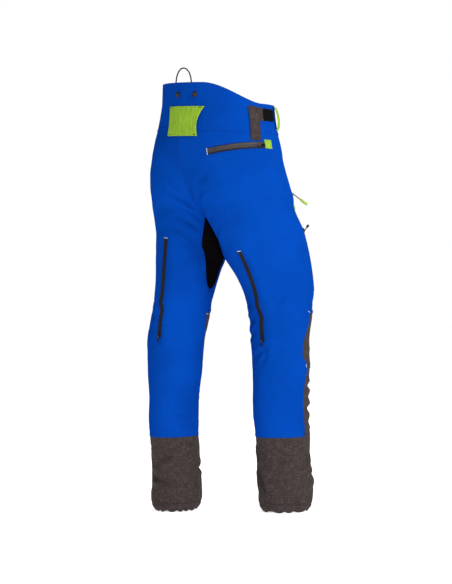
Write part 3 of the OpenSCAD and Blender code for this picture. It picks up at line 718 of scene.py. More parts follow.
class Panel:
    """A panel of cloth. place(u, v) gives side, t and h. laps names the edges that lie
    over the neighbouring panel: u0, u1, v0, v1, each with how far they stand up."""

    def __init__(self, name, node, place, width, height, material, slot, laps=None, step=4.0,
                 thick=CLOTH, base=0.0, closed=False, sheet=True):
        self.place, self.width, self.height, self.base = place, width, height, base
        self.laps, self.closed, self.thick = laps or {}, closed, thick
        us = np.linspace(0, 1, round(width / step) + 1)[:-1] if closed else spaced(width, step)
        u, v = np.meshgrid(us, spaced(height, step))
        side, t, h = place(u, v)
        points, faces, lined = slab(surface(side, t, h, self.lift(u, v)),
                                    surface(side, t, h, self.under(u, v)), closed)
        uv = np.stack([u * GIRTH * 0.9 if closed else t * GIRTH * side, h], -1).reshape(-1, 2) * MM
        piece = make(name, points, faces, material, np.concatenate([uv, uv]), (LINING, *lined))
        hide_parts(node)
        if sheet:
            across = surface(side, t, h)

    def edges(self, u, v):
        """How far points are from each edge."""
        far = np.full(np.shape(u), 1e3)
        across = far if self.closed else u * self.width
        back = far if self.closed else (1 - u) * self.width
        return {"u0": across, "u1": back, "v0": v * self.height, "v1": (1 - v) * self.height}

    def raised(self, u, v):
        up = np.zeros(np.shape(u))
        for edge, distance in self.edges(u, v).items():
            if edge in self.laps:
                up = np.maximum(up, self.laps[edge] * (1 - ease(distance, 5, 14)))
        return up

    def lift(self, u, v):
        """Where the outer face lies: raised at lapped edges, rounded off at every edge."""
        nearest = np.minimum.reduce(list(self.edges(u, v).values()))
        rounding = 0.45 * (1 - np.sqrt(1 - (1 - clip(nearest / 0.9)) ** 2))
        return self.base + self.raised(u, v) - rounding

    def under(self, u, v):
        """Where the inner face lies: thin where the panel lies over its neighbour."""
        up = self.raised(u, v)
        most = max(self.laps.values(), default=1)
        return self.base + mix(-self.thick, up - 0.95, clip(up / most))

    def sew(self, edge, rows=(2.2, 7.5), material=BLUE_THREAD, start=0.0, end=1.0):
        """Rows of stitches, each at a distance from an edge."""
        upright_edge = edge[0] == "u"
        s = np.linspace(start, end, max(8, int((self.height if upright_edge else self.width) / 4)))
        for distance in rows:
            share = distance / (self.width if upright_edge else self.height)
            k = np.full(s.shape, share if edge[1] == "0" else 1 - share)
            u, v = (k, s) if upright_edge else (s, k)
            stitch_row(*line_on(*self.place(u, v), self.base + self.raised(u, v)), material)


# ---- Stitches ----

stitches = {}


def line_on(side, t, h, off):
    """A line of points lying over the cloth, with its outward directions."""
    low, high = surface(side, t, h, off), surface(side, t, h, np.asarray(off) + 1)
    return low, unit(high - low)


def stitch_row(line, out, material, pitch=3.3, share=0.8, radius=0.33):
    """A row of stitches along a line of points on the cloth."""
    length = np.concatenate([[0], np.cumsum(np.linalg.norm(np.diff(line, axis=0), axis=1))])
    count = max(1, round(length[-1] / pitch))
    step = length[-1] / count
    rise = np.array([-0.1, 0.75, 0.75, -0.1]) * radius
    r = np.array([0.55, 1, 1, 0.55])[:, None] * radius
    offsets = (np.array([0.02, 0.25, 0.75, 0.98]) - 0.5) * share * step
    for k in range(count):
        at = (k + 0.5) * step + offsets
        p, n = (np.stack([np.interp(at, length, x[:, i]) for i in range(3)], -1) for x in (line, out))
        n = unit(n)
        across = unit(np.cross(n, unit(p[-1] - p[0])))
        p = p + n * rise[:, None]
        ring = np.stack([p + across * r, p + n * r, p - across * r, p - n * r], 1)
        stitches.setdefault(material.name, []).append(ring.reshape(-1, 3))


def sew_on(side, t, h, off, material, pitch=3.3):
    """A row of stitches over the cloth; t or h is an array."""
    stitch_row(*line_on(side, t, h, off), material, pitch)


def bar_tack(place, out, along, length, material, width=1.9):
    """A short dense bar of satin stitch, centred at place."""
    across = unit(np.cross(out, along))
    count = round(length / 0.62)
    for k in range(count):
        centre = place + along * ((k + 0.5) / count - 0.5) * length + out * 0.35
        ends = np.stack([centre - across * width / 2, centre + across * width / 2])
        stitch_row(ends, np.stack([out, out]), material, pitch=width, share=1.0, radius=0.36)


def tack_on(side, t, h, turn, length, material, off=1.2, width=1.9):
    """A bar tack on the cloth, turned from the level by degrees."""
    place, out = line_on(side, t, h, off)
    level = unit(np.cross(out, [0, 0, 1.0]))
    a = math.radians(turn)
    along = level * math.cos(a) + unit(np.cross(level, out)) * math.sin(a)
    bar_tack(place, out, along, length, material, width)


def finish_stitches():
    """One piece for each colour of thread."""
    one = np.concatenate([grid_faces(4, 4, 0, True), [[3, 2, 1, 0], [12, 13, 14, 15]]])
    for name, parts in stitches.items():
        faces = (one[None] + 16 * np.arange(len(parts))[:, None, None]).reshape(-1, 4)
        make(name + "_stitches", np.concatenate(parts), faces, bpy.data.materials[name],
             angle=80)


# ---- Shell ----

SEAM = 0.3 / GIRTH  # the gap along a seam
LAP = 3.5 / GIRTH  # how far one panel lies over the next
FLY_LAP = 12 / GIRTH
RAISED = 1.1  # how far a lapped edge stands up


def build_leg(word, side):
    def panel(name, node, low, high, start, end, size, material, laps, step=4.0):
        def place(u, v):
            h = mix(low, high, v)
            return side, mix(start(h), end(h), u), h
        return Panel(f"{name}_cloth_{word}", f"{node}_{word}", place, *size, material,
                     "ripstop" if material is RIPSTOP else "shell_cloth", laps, step)

    def over_gusset(h, own_side):
        return ease(h, GUSSET_TOP - 10, GUSSET_TOP + 20) if side == own_side else 0

    def rear_end(h):
        return 1 - SEAM - gusset_edge(side, h) + inner_edge(h) + LAP * over_gusset(h, RIGHT)

    def front_start(h):
        under = np.maximum(over_gusset(h, LEFT), 1 - ease(h, GUSSET_LOW - 6, GUSSET_LOW + 4))
        return SEAM + gusset_edge(side, h) + inner_edge(h) - (LAP + SEAM) * under

    def ripstop_start(h):
        return inner_edge(h) - LAP

    def ripstop_end(h):
        return ripstop_edge(h) + 2 * SEAM

    rear = panel("rear", "rear_panel", CUFF_H - 3, BAND_H + 4, lambda h: ripstop_edge(h) - LAP, rear_end,
                 (262, 802), BLUE, {"u0": RAISED, "v0": RAISED, "u1": RAISED * 0.8})
    rear.sew("u0", (2.2, 8))
    rear.sew("v0", (2.2,))
    rear.sew("u1", (2.2,), end=0.68)
    rear.sew("u1", (2.2, 7), start=0.73)
    own_lap = {"u0": RAISED} if side == LEFT else {}
    front = panel("front", "front_panel", KNEE_H - 3, BAND_H + 4, front_start,
                  lambda h: side_seam(h) + 2 * SEAM, (180, 475), BLUE, {"v0": RAISED, **own_lap})
    front.sew("v0")
    knee = panel("knee", "knee_panel", SHIN_H - 3, KNEE_H + 2, ripstop_start, ripstop_end,
                 (170, 150), RIPSTOP, {"v0": RAISED}, 3.0)
    knee.sew("v0", material=DARK_THREAD)
    panel("shin", "shin_panel", CUFF_H - 1, SHIN_H + 2, ripstop_start, ripstop_end,
          (165, 184), RIPSTOP, {}, 3.0)

    def cuff_place(u, v):
        return side, u, mix(7 - 7 * gather(side, u) - HEM_DROP, CUFF_H, v)
    cuff = Panel(f"cuff_cloth_{word}", f"cuff_{word}", cuff_place, 410, CUFF_H, RIPSTOP, "ripstop",
                 closed=True, step=1.6)
    cuff.sew("v0", (20, 23), DARK_THREAD)
    Panel(f"hem_band_{word}", f"hem_elastic_{word}", lambda u, v: (side, u, mix(3, 17, v) - HEM_DROP),
          400, 14, WEBBING, "black_webbing", closed=True, step=3.0, thick=1.6, base=-CLOTH - 1.2,
          sheet=False)

    def band_place(u, v):
        t = mix(SEAM if side == RIGHT else -FLY_LAP, 0.5 + SEAM, u)
        return side, t, mix(BAND_H - 3, waist_edge(side, t), v)
    own_lap = {"u0": 1.6} if side == LEFT else {}
    band = Panel(f"front_band_cloth_{word}", f"front_waistband_{word}", band_place, 222, 76,
                 BLUE, "shell_cloth", {"v0": RAISED, **own_lap}, step=3.5)
    band.sew("v0", (2.2,))
    band.sew("v1", (3, 8))


def build_back_band():
    def place(u, v):
        s = mix(-1, 1, u)
        side = np.where(s < 0, RIGHT, LEFT)
        t = 1 - (0.5 + LAP) * np.abs(s)
        return side, t, mix(BAND_H - 3, waist_edge(side, t), v)
    band = Panel("back_band_cloth", "back_waistband", place, 452, 120, BLUE, "shell_cloth",
                 {"u0": RAISED, "u1": RAISED, "v0": RAISED}, step=3.2)
    band.sew("v0", (2.2,))
    band.sew("v1", (3, 8))
    band.sew("u0", (2.2, 7))
    band.sew("u1", (2.2, 7))


def build_darts():
    """The knee's dart: a short seam in the ripstop, tacked where it ends."""
    for side in (LEFT, RIGHT):
        h, t0, t1 = SHIN_H + 6, 0.30, 0.43
        t = np.linspace(t0, t1, 24)
        for off in (-1.6, 1.6):
            sew_on(side, t, h + off + 5 * np.sin(np.pi * (t - t0) / (t1 - t0)), 0.9, DARK_THREAD)
        tack_on(side, t1, h, 90, 9, WHITE_THREAD)
        tack_on(side, 0.425, 516, 20, 10, WHITE_THREAD)
        tack_on(side, 1.02, 510, 10, 10, WHITE_THREAD)
        tack_on(side, 0.44, CUFF_H + 4, 90, 9, DARK_THREAD)


def gusset_place(s, v):
    """As in the CAD model: s from the right leg to the left, v from front to rear."""
    w, a = 1 - np.abs(1 - 2 * v), np.abs(s)
    side_h = mix(GUSSET_TOP, GUSSET_LOW, w)
    centre_h = mix(GUSSET_TOP, CROTCH_H, w)
    reach = gusset_edge(np.where(s < 0, RIGHT, LEFT), side_h) + 5 / GIRTH * ease(w, 0, 0.2)
    t = a * np.maximum(0, reach)
    return np.where(v < 0.5, t, 1 - t), mix(centre_h, side_h, a)


def build_gusset():
    """One diamond of stretch cloth from the front seam through the crotch to the rear."""
    s, v = np.meshgrid(np.linspace(-1, 1, 41), np.linspace(0.005, 0.995, 201))
    t, h = gusset_place(s, v)
    side = np.where(s < 0, RIGHT, LEFT)
    near = np.exp(-((s / 0.12) ** 2))[..., None]
    layers = []
    for off in (-0.25, -CLOTH):
        p, other = surface(side, t, h, off), surface(-side, t, h, off)
        other[..., 0] *= -1
        middle = (p + other) / 2
        middle[..., 0] = p[..., 0] * (1 - near[..., 0])
        middle[..., 2] -= off
        layers.append(mix(p, middle, near))
    points, faces, lined = slab(*layers)
    uv = np.stack([s * 60, h], -1).reshape(-1, 2) * MM
    piece = make("gusset_cloth_piece", points, faces, GUSSET, np.concatenate([uv, uv]),
                 (LINING, *lined))
    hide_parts("crotch_gusset")


for side_name, side_sign in SIDES.items():
    build_leg(side_name, side_sign)
build_back_band()
build_darts()
build_gusset()

# ---- Zips, sliders and pulls ----


def zip_points(z, along, across, up):
    """Points in a zip's own frame: along it, across it and outward from its middle."""
    p, ahead, sideways, out = z.at(along)
    return p + (across + z.wander(along))[..., None] * sideways + up[..., None] * out


def zip_tape(name, node, z, material, edge_material=None):
    """The two tapes of a zip with their lips meeting over the coil."""
    half = z.width / 2
    y = np.concatenate([[-half, -half + 0.25, -half + 0.9], np.linspace(-half + 1.8, -2.9, 4),
                        [-2.6, -2.2, -1.6, -1, -0.5, -0.22, 0]])
    y = np.concatenate([y, -y[-2::-1]])
    a = np.abs(y)
    lip = 0.22 * (1 - ease(a, 2.1, 2.8)) - 0.42 * (1 - ease(a, 0.12, 0.5))
    top = 0.52 + lip - 0.35 * ease(a, half - 0.8, half)
    s = np.linspace(0, z.length, round(z.length / 0.42) + 1)
    along, across = np.meshgrid(s, y, indexing="ij")
    coil = 0.06 * np.sin(2 * np.pi * along / 2.2) * (1 - ease(np.abs(np.abs(across) - 1.3), 0.6, 1.2))
    points, faces, lined = slab(zip_points(z, along, across, top[None] + coil),
                                zip_points(z, along, across, np.full(along.shape, -0.6)))
    uv = np.stack([along, across], -1).reshape(-1, 2) * MM
    piece = make(name, points, faces, material, np.concatenate([uv, uv]), angle=60)
    if edge_material:
        piece.data.materials.append(edge_material)
        centres = z.local(points[faces].mean(1))[1]
        dark = (centres > 4.6) | (centres < -7)
        piece.data.polygons.foreach_set("material_index", dark.astype(np.int32))
    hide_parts(node)


def along_zip(z, across, up):
    """A line beside the middle of a zip, with its outward directions."""
    s = np.linspace(0, z.length, 80)
    return zip_points(z, s, np.full(s.shape, across), np.full(s.shape, up)), z.at(s)[3]


def zip_matrix(z, along, up):
    """The placing of a slider or pull on a zip, in millimetres."""
    p, ahead, across, out = (x.reshape(3) for x in z.at(along))
    m = np.eye(4)
    m[:3, 0], m[:3, 1], m[:3, 2], m[:3, 3] = ahead, across, out, p + up * out
    return Matrix(m)


def flat_shape(outlines, thick, bevel):
    """Points and faces of a plate with rounded edges; outlines after the first are holes."""
    curve = bpy.data.curves.new("shape", "CURVE")
    curve.dimensions, curve.fill_mode = "2D", "BOTH"
    curve.extrude, curve.bevel_depth, curve.bevel_resolution = thick / 2 - bevel, bevel, 2
    curve.offset = -bevel
    for corners in outlines:
        spline = curve.splines.new("POLY")
        spline.points.add(len(corners) - 1)
        for point, (x, y) in zip(spline.points, corners):
            point.co = (x, y, 0, 1)
        spline.use_cyclic_u = True
    holder = bpy.data.objects.new("shape", curve)
    bpy.context.scene.collection.objects.link(holder)
    mesh = bpy.data.meshes.new_from_object(holder.evaluated_get(bpy.context.evaluated_depsgraph_get()))
    points = np.empty(len(mesh.vertices) * 3)
    mesh.vertices.foreach_get("co", points)
    faces = [tuple(p.vertices) for p in mesh.polygons]
    bpy.data.objects.remove(holder)
    bpy.data.curves.remove(curve)
    bpy.data.meshes.remove(mesh)
    return points.reshape(-1, 3), faces


def arc(x, y, r, angles):
    return [(x + r * math.cos(a), y + r * math.sin(a)) for a in angles]


def rounded(x0, x1, y0, y1, r):
    """A rectangle with round corners."""
    corners = [(x1 - r, y1 - r), (x0 + r, y1 - r), (x0 + r, y0 + r), (x1 - r, y0 + r)]
    return [p for k, (x, y) in enumerate(corners)
            for p in arc(x, y, r, np.linspace(k, k + 1, 7) * math.pi / 2)]


def upright(shape, y=0.0):
    """A plate turned to stand in the plane of X and Z."""
    points, faces = shape
    return np.stack([points[:, 0], y - points[:, 2], points[:, 1]], -1), faces


def lofted(sections):
    """A closed body through rings of points."""
    rows, columns = len(sections), len(sections[0])
    faces = [tuple(f) for f in grid_faces(rows, columns, 0, True)]
    ends = [tuple(range(columns))[::-1], tuple(range((rows - 1) * columns, rows * columns))]
    return np.concatenate(sections), faces + ends


def oval(x, y, z, power):
    """A ring of points: a rounded rectangle across the X axis, y and z from its middle."""
    a = np.linspace(0, 2 * np.pi, 28, endpoint=False)
    c, s = np.cos(a), np.sin(a)
    return np.stack([np.full(28, float(x)), y * np.sign(c) * np.abs(c) ** (2 / power),
                     z * np.sign(s) * np.abs(s) ** (2 / power)], -1)


def assemble(name, parts, place, material, body, node=None, angle=35):
    """One piece from several bodies. place takes their millimetres to where they are."""
    points, faces, first = [], [], 0
    for part_points, part_faces in parts:
        points.append(np.asarray(part_points, float))
        faces += [tuple(int(i) + first for i in f) for f in part_faces]
        first += len(part_points)
    place = np.array(place)
    points = np.concatenate(points) @ place[:3, :3].T + place[:3, 3]
    mesh = bpy.data.meshes.new(name)
    mesh.from_pydata((points * MM).tolist(), [], faces)
    mesh.materials.append(material)
    bm = bmesh.new()
    bm.from_mesh(mesh)
    bmesh.ops.remove_doubles(bm, verts=bm.verts, dist=1e-7)
    bmesh.ops.recalc_face_normals(bm, faces=bm.faces)
    bm.to_mesh(mesh)
    bm.free()
    mesh.polygons.foreach_set("use_smooth", np.ones(len(mesh.polygons), bool))
    mesh.set_sharp_from_angle(angle=math.radians(angle))
    piece = place_piece(name, mesh, body)
    if node:
        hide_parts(node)


def turned(profile, steps=48):
    """A body turned about Z, from (radius, height) pairs that begin and end on the axis."""
    ring = profile[1:-1]
    a = np.linspace(0, 2 * np.pi, steps, endpoint=False)
    rings = [np.stack([r * np.cos(a), r * np.sin(a), np.full(steps, float(z))], -1) for r, z in ring]
    points = np.concatenate([*rings, [[0, 0, profile[0][1]], [0, 0, profile[-1][1]]]])
    n, last = len(points) - 2, (len(ring) - 1) * steps
    faces = [tuple(f) for f in grid_faces(len(ring), steps, 0, True)]
    for k in range(steps):
        j = (k + 1) % steps
        faces += [(n, j, k), (n + 1, last + k, last + j)]
    return points, faces


SLIDER_L, SLIDER_THICK = 12.0, 2.2
EAR_GAP, EAR_THICK, PIN_R = 3.4, 1.1, 0.7
PIN_H = SLIDER_THICK + 1.9
RIDE = ZIP_THICK / 2 + 0.3
# How wide a slider is, from end to end: distance from its middle, half width.
SLIDER_PLAN = [(-6, 2.6), (-5.7, 3.4), (-5, 3.95), (-3.6, 4.2), (-1, 4.1), (2, 3.6), (4.6, 3.35),
               (5.6, 3.0), (6, 2.3)]


def slider(name, z):
    """A zip's slider: two plates with a slot between their flanges, ears and a pin."""
    sections = []
    for x, w in SLIDER_PLAN:
        end = 0.25 * ease(abs(x), 5, 6)
        half = [(w - 0.5, end), (w - 0.12, 0.14 + end), (w, 0.5), (w, 0.86), (w - 0.5, 0.95),
                (w - 0.5, 1.25), (w, 1.34), (w, 1.7), (w - 0.12, 2.02 - end), (w - 0.5, 2.17 - end),
                (w * 0.4, 2.2 - end)]
        ring = [(x, y, up) for y, up in half] + [(x, -y, up) for y, up in half[::-1]]
        sections.append(np.array(ring, float))
    ear = [(-1.9, 2.0), (1.9, 2.0), (1.55, 3.2), *arc(0, PIN_H + 0.05, 1.25, np.linspace(0, math.pi, 11)),
           (-1.55, 3.2)]
    ears = [upright(flat_shape([ear], EAR_THICK, 0.25), s * (EAR_GAP + EAR_THICK) / 2) for s in (-1, 1)]
    profile = [(0, -3.1), (0.45, -3.0), (PIN_R, -2.75), (PIN_R, 2.75), (0.45, 3.0), (0, 3.1)]
    pin, pin_faces = turned(profile, 20)
    pin = np.stack([pin[:, 0], pin[:, 2], pin[:, 1] + PIN_H], -1)
    assemble(name + "_metal", [lofted(sections), *ears, (pin, pin_faces)],
             zip_matrix(z, SLIDER_L / 2, RIDE), ENAMEL, name, name)


def pull_matrix(z, reach, lifted=0):
    """The placing of a pull: reach is 1 toward the zip's end or -1 toward its start."""
    turn = Matrix.Rotation(math.radians(-lifted), 4, "Y")
    if reach < 0:
        turn = turn @ Matrix.Rotation(math.pi, 4, "Y")
    return zip_matrix(z, SLIDER_L / 2, RIDE + PIN_H) @ turn


def eye(neck_end):
    """The eye of a pull, round the pin, with its neck."""
    rim = arc(0, 0, 1.5, np.linspace(0.41, 2 * math.pi - 0.41, 25)) + [(neck_end, -0.6), (neck_end, 0.6)]
    hole = arc(0, 0, 1.0, np.linspace(0, 2 * math.pi, 24, endpoint=False))
    return upright(flat_shape([rim, hole], 2.6, 0.3))


def metal_pull(name, z, width, reach, material):
    """A stamped metal pull: tapered, with a slot and a ribbed thumb pad."""
    start, length, thick = 6, 22, 1.4
    grip = [(start, -1.3), (start + 3, -width / 2),
            *arc(length - width / 2, 0, width / 2, np.linspace(-math.pi / 2, math.pi / 2, 13)),
            (start + 3, width / 2), (start, 1.3)]
    slot = rounded(start + 3.2, start + 8, -0.8, 0.8, 0.75)
    parts = [eye(start + 1.2), flat_shape([grip, slot], thick - 0.3, 0.3)]
    for k in range(4):
        x = start + 9.2 + 1.35 * k
        for s in (1, -1):
            bar, bar_faces = flat_shape([rounded(x, x + 0.6, -width / 2 + 0.9, width / 2 - 0.9, 0.28)], 0.4, 0.12)
            parts.append((bar + np.array([0, 0, s * (thick / 2 - 0.2)]), bar_faces))
    assemble(name + "_metal", parts, pull_matrix(z, reach), material, name, name)


def rubber_pull(name, z, length, grip_l, grip_w, thick, reach, lifted, material):
    """A moulded grip on a short cord that passes through the eye."""
    start = length - grip_l
    place = pull_matrix(z, reach, lifted)
    r = 0.58
    a = np.linspace(0, 2 * np.pi, 12, endpoint=False)
    neck = []
    for s in (1, -1):
        path = [(1.0, s * 0.45), (2.5, s * 0.75), (start * 0.5, s * 0.8), (start + 1.5, s * 0.7)]
        neck.append(lofted([np.stack([np.full(12, x), y + r * np.cos(a), 1.75 * r * np.sin(a)], -1)
                            for x, y in path]))
    assemble(name + "_cord", [*neck, eye(2.2)], place, CORD, name)
    sections = []
    for x in np.linspace(0, grip_l, max(24, int(grip_l * 3))):
        end = min(x, grip_l - x)
        full = math.sqrt(max(0.0, 1 - (1 - min(1, end / 1.6 + 0.08)) ** 2))
        shape = (0.62 + 0.38 * float(ease(x, 0, grip_l * 0.45))) * full
        end = float(ease(x, grip_l * 0.8, grip_l * 0.92))
        ribbed = float(ease(x, grip_l * 0.3, grip_l * 0.4)) * (1 - end)
        rib = 0.2 * (0.5 + 0.5 * math.cos(2 * math.pi * x / 2.4)) * ribbed
        sections.append(oval(start + x, grip_w / 2 * shape, thick / 2 * shape - rib, 2.8))
    assemble(name + "_grip", [lofted(sections)], place, material, name, name, angle=60)


def zip_and_slider(base, word="", tape=VENT_TAPE, edge=None):
    z = ZIPS[base + word]
    zip_tape(f"{base}_zip_tape{word}", f"{base}_zip{word}", z, tape, edge)
    slider(f"{base}_slider{word}", z)
    return z


def sew_zip(z):
    """The rows that hold a zip in, on the cloth beside it and on its own tape."""
    for s in (-1, 1):
        stitch_row(*along_zip(z, s * (z.width / 2 - 0.8), 0.42), DARK_THREAD, 2.9)
        stitch_row(*along_zip(z, s * (z.width / 2 + 3), -0.72), BLUE_THREAD)


def tack_zip(z, length, *ends):
    """Bar tacks just past the ends of a zip, clear of the slider: ends are (0 or 1, thread)."""
    for end, material in ends:
        p, ahead, across, out = (x.reshape(3) for x in z.at(end * (z.length + 2.8) - 1.4))
        bar_tack(p - 0.75 * out, out, across, length, material, 2.4)


def build_zips():
    for word in ("_left", "_right"):
        z = zip_and_slider("vent", word)
        metal_pull("vent_pull" + word, z, 5, -1, GUNMETAL)
        sew_zip(z)
        tack_zip(z, 11, (1, WHITE_THREAD), (0, DARK_THREAD))
        z = zip_and_slider("hand_pocket", word)
        rubber_pull("hand_pocket_pull" + word, z, 46, 27, 9, 6.8, -1, -38, LIME_RUBBER)
        sew_zip(z)
        tack_zip(z, 17, (1, DARK_THREAD), (0, DARK_THREAD))
    z = zip_and_slider("rear_pocket", tape=POCKET_TAPE, edge=VENT_TAPE)
    rubber_pull("rear_pocket_pull", z, 16, 10, 6, 1.6, 1, 0, BLACK_RUBBER)
    sew_zip(z)
    tack_zip(z, 17, (1, WHITE_THREAD))
    z = zip_and_slider("thigh_pocket")
    rubber_pull("thigh_pocket_pull", z, 16, 10, 7, 6.4, -1, -50, BLACK_RUBBER)
    sew_zip(z)
    tack_zip(z, 17, (1, DARK_THREAD), (0, DARK_THREAD))
    z = zip_and_slider("fly")
    metal_pull("fly_pull", z, 6, 1, STEEL)
    tack_zip(z, 11, (1, DARK_THREAD))


build_zips()

# ---- Straps, tabs, loops and pockets ----


def patch(name, node, place, rows, columns, low, high, material):
    """A piece of cloth between two heights over the surface. place(u, v) gives side, t and
    h; low and high give the heights of its two faces there."""
    u, v = np.meshgrid(np.linspace(0, 1, columns), np.linspace(0, 1, rows))
    side, t, h = place(u, v)
    points, faces, lined = slab(surface(side, t, h, high(u, v)), surface(side, t, h, low(u, v)))
    uv = np.stack([t * GIRTH * side, h], -1).reshape(-1, 2) * MM
    piece = make(name, points, faces, material, np.concatenate([uv, uv]), angle=60)
    if node:
        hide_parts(node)
    return piece


def oblong(side, t0, t1, h0, h1):
    """The place of a patch between two shares of the way round and two heights."""
    return lambda u, v: (side, mix(t0, t1, u), mix(h0, h1, v))


def level(height):
    return lambda u, v: height


def edge_round(u, v, wide, high, r):
    """How much a face is drawn in close to its edges, so that they are round."""
    near = np.minimum(np.minimum(u, 1 - u) * wide, np.minimum(v, 1 - v) * high)
    return r * (1 - np.sqrt(1 - (1 - clip(near / r)) ** 2))


def sew_patch(place, rise, u, v, material, pitch=2.8):
    """A row of stitches over a patch, rise(u, v) up; u or v is an array."""
    u, v = np.broadcast_arrays(u, v)
    sew_on(*place(u, v), rise(u, v), material, pitch)


LOOP_GAP, WIDE_LOOP_GAP, WEB = 3.0, 10.0, 1.6


def build_tunnel():
    def place(u, v):
        s = mix(-1, 1, u)
        waist = 1 - np.where(s < 0, 0.2, 0.04) * np.sin(np.pi * v)
        t = 1 - np.abs(s) * mix(0.090, 0.117, v) * waist
        return np.where(s < 0, RIGHT, LEFT), t, mix(969, 1047, v)

    def bulge(u, v):
        sag = 0.5 * np.sin(np.pi * v) * np.sin(9 * u + 2)
        return 0.3 + (LOOP_GAP + 0.7) * np.sin(np.pi * clip(v)) ** 0.4 + sag * np.sin(np.pi * v)

    def top(u, v):
        return bulge(u, v) + WEB

    def hem(u):
        return 0.55 * (1 - ease(np.abs(np.minimum(u, 1 - u) * 90 - 3.2), 2.2, 3.4))
    patch("belt_tunnel_webbing", "belt_tunnel", place, 56, 80, lambda u, v: bulge(u, v) + 0.2,
          lambda u, v: top(u, v) + hem(u) - edge_round(u, v, 92, 80, 0.6), LIME)
    for v in (0.028, 0.065, 0.935, 0.972):
        sew_patch(place, top, np.linspace(0.03, 0.97, 60), v, LIME_THREAD)
    for u in (0.07, 0.93):
        sew_patch(place, lambda u, v: top(u, v) + 0.1, u, np.linspace(0.05, 0.95, 40), LIME_THREAD)
        for v in (0.045, 0.955):
            tack_on(*place(u, v), 0, 7, DARK_THREAD, top(u, v))


def build_waist_trim(word, side):
    def loop(name, node, place, gap, columns, size, material):
        """A belt loop, and the height of its outer face."""
        def rise(u, v):
            return 0.3 + (gap - 0.3) * np.sqrt(np.sin(np.pi * clip(v)))
        patch(f"{name}_{word}", f"{node}_{word}", place, 60, columns, rise,
              lambda u, v: rise(u, v) + WEB - edge_round(u, v, *size, 0.6), material)
        return lambda u, v: rise(u, v) + WEB

    def side_place(u, v):
        return side, mix(0.578, 0.64, u) - 0.006 * np.sin(np.pi * v) ** 2, mix(963, 1052, v)
    top = loop("side_loop", "side_belt_loop", side_place, LOOP_GAP, 20, (28, 89), RIPSTOP)
    for v in (0.03, 0.075, 0.2, 0.925, 0.965):
        sew_patch(side_place, top, np.linspace(0.06, 0.94, 16), v, DARK_THREAD)
    for u in (0.08, 0.92):
        sew_patch(side_place, top, u, np.linspace(0.03, 0.97, 40), DARK_THREAD)
    place = oblong(side, 0.36, 0.41, 996, 1056)
    top = loop("front_loop", "front_belt_loop", place, WIDE_LOOP_GAP, 14, (22, 60), LIME)
    for v in (0.02, 0.05, 0.95, 0.98):
        sew_patch(place, top, np.linspace(0.08, 0.92, 10), v, LIME_THREAD, 2.6)

    def strap_place(u, v):
        return side, mix(0.42, 0.548, u), 1032 + (v - 0.5) * 32 * (1 - 0.25 * np.exp(-u * 9))
    patch(f"waist_strap_webbing_{word}", f"waist_strap_{word}", strap_place, 18, 40, level(0.25),
          lambda u, v: 2.3 - edge_round(u, v, 58, 32, 0.8), WEBBING)
    for v in (0.09, 0.91):
        sew_patch(strap_place, level(2.3), np.linspace(0.04, 0.96, 24), v, DARK_THREAD)

    def over_strap(u):
        return 1 - ease(u, 0.15, 0.4)
    patch(f"strap_anchor_{word}", None, oblong(side, 0.54, 0.592, 1015, 1049), 16, 14,
          lambda u, v: 0.2 + 2.15 * over_strap(u),
          lambda u, v: 1.3 + 2.3 * over_strap(u) - edge_round(u, v, 20, 34, 0.5), RIPSTOP)
    sew_on(side, 0.5435, mix(1015, 1049, np.linspace(0.06, 0.94, 12)), 3.6, DARK_THREAD, 2.6)


def tab(name, node, side, t0, t1, h0, h1):
    patch(name, node, oblong(side, t0, t1, h0, h1), 16, 16, level(0.15),
          lambda u, v: 1.15 - edge_round(u, v, (t1 - t0) * GIRTH, h1 - h0, 0.45)
          + 1.8 * np.sin(np.pi * clip(u)) ** 0.7, LIME)
    for u in (0.16, 0.84):
        sew_on(side, mix(t0, t1, u), np.linspace(h0 + 1.5, h1 - 1.5, 12), 1.2, LIME_THREAD, 2.4)


def bag(name, node, side, t0, t1, h0, h1):
    def swell(u, v):
        return 0.4 * np.sin(3 * np.pi * u) * np.sin(2 * np.pi * v)
    patch(name, node, oblong(side, t0, t1, h0, h1), 34, 30, lambda u, v: -4.3 + swell(u, v),
          lambda u, v: -3.1 + swell(u, v) - edge_round(u, v, 90, 150, 0.5), LINING)


def cut_pad(word, side):
    """A quilted pad of layered knit inside the leg."""
    def place(u, v):
        h = mix(60, 760, v)
        return side, mix(0.12, side_seam(h) - 0.02, u), h

    def quilt(u, v):
        seam = np.minimum(np.abs((v * 700 / 58) % 1 - 0.5) * 58, np.abs((u * 3) % 1 - 0.5) * 46)
        return 1.5 * np.exp(-((seam / 3.2) ** 2)) + edge_round(u, v, 130, 700, 2.4)
    pad = patch(f"cut_pad_knit_{word}", f"cut_pad_{word}", place, 240, 44,
                lambda u, v: -11.2 + quilt(u, v), lambda u, v: -5.2 - 0.5 * quilt(u, v), PAD)


def build_placket():
    def place(u, v):
        return LEFT, mix(0.014, 0.075, u * (0.4 + 0.6 * np.sqrt(v))), mix(790, 978, v)
    patch("fly_placket_cloth", "fly_placket", place, 60, 20, level(0.25),
          lambda u, v: 1.8 - edge_round(u, v, 27, 188, 0.7), BLUE)
    for u in (0.86, 0.97):
        sew_patch(place, level(1.75), u, np.linspace(0.02, 0.98, 60), BLUE_THREAD, 3.3)


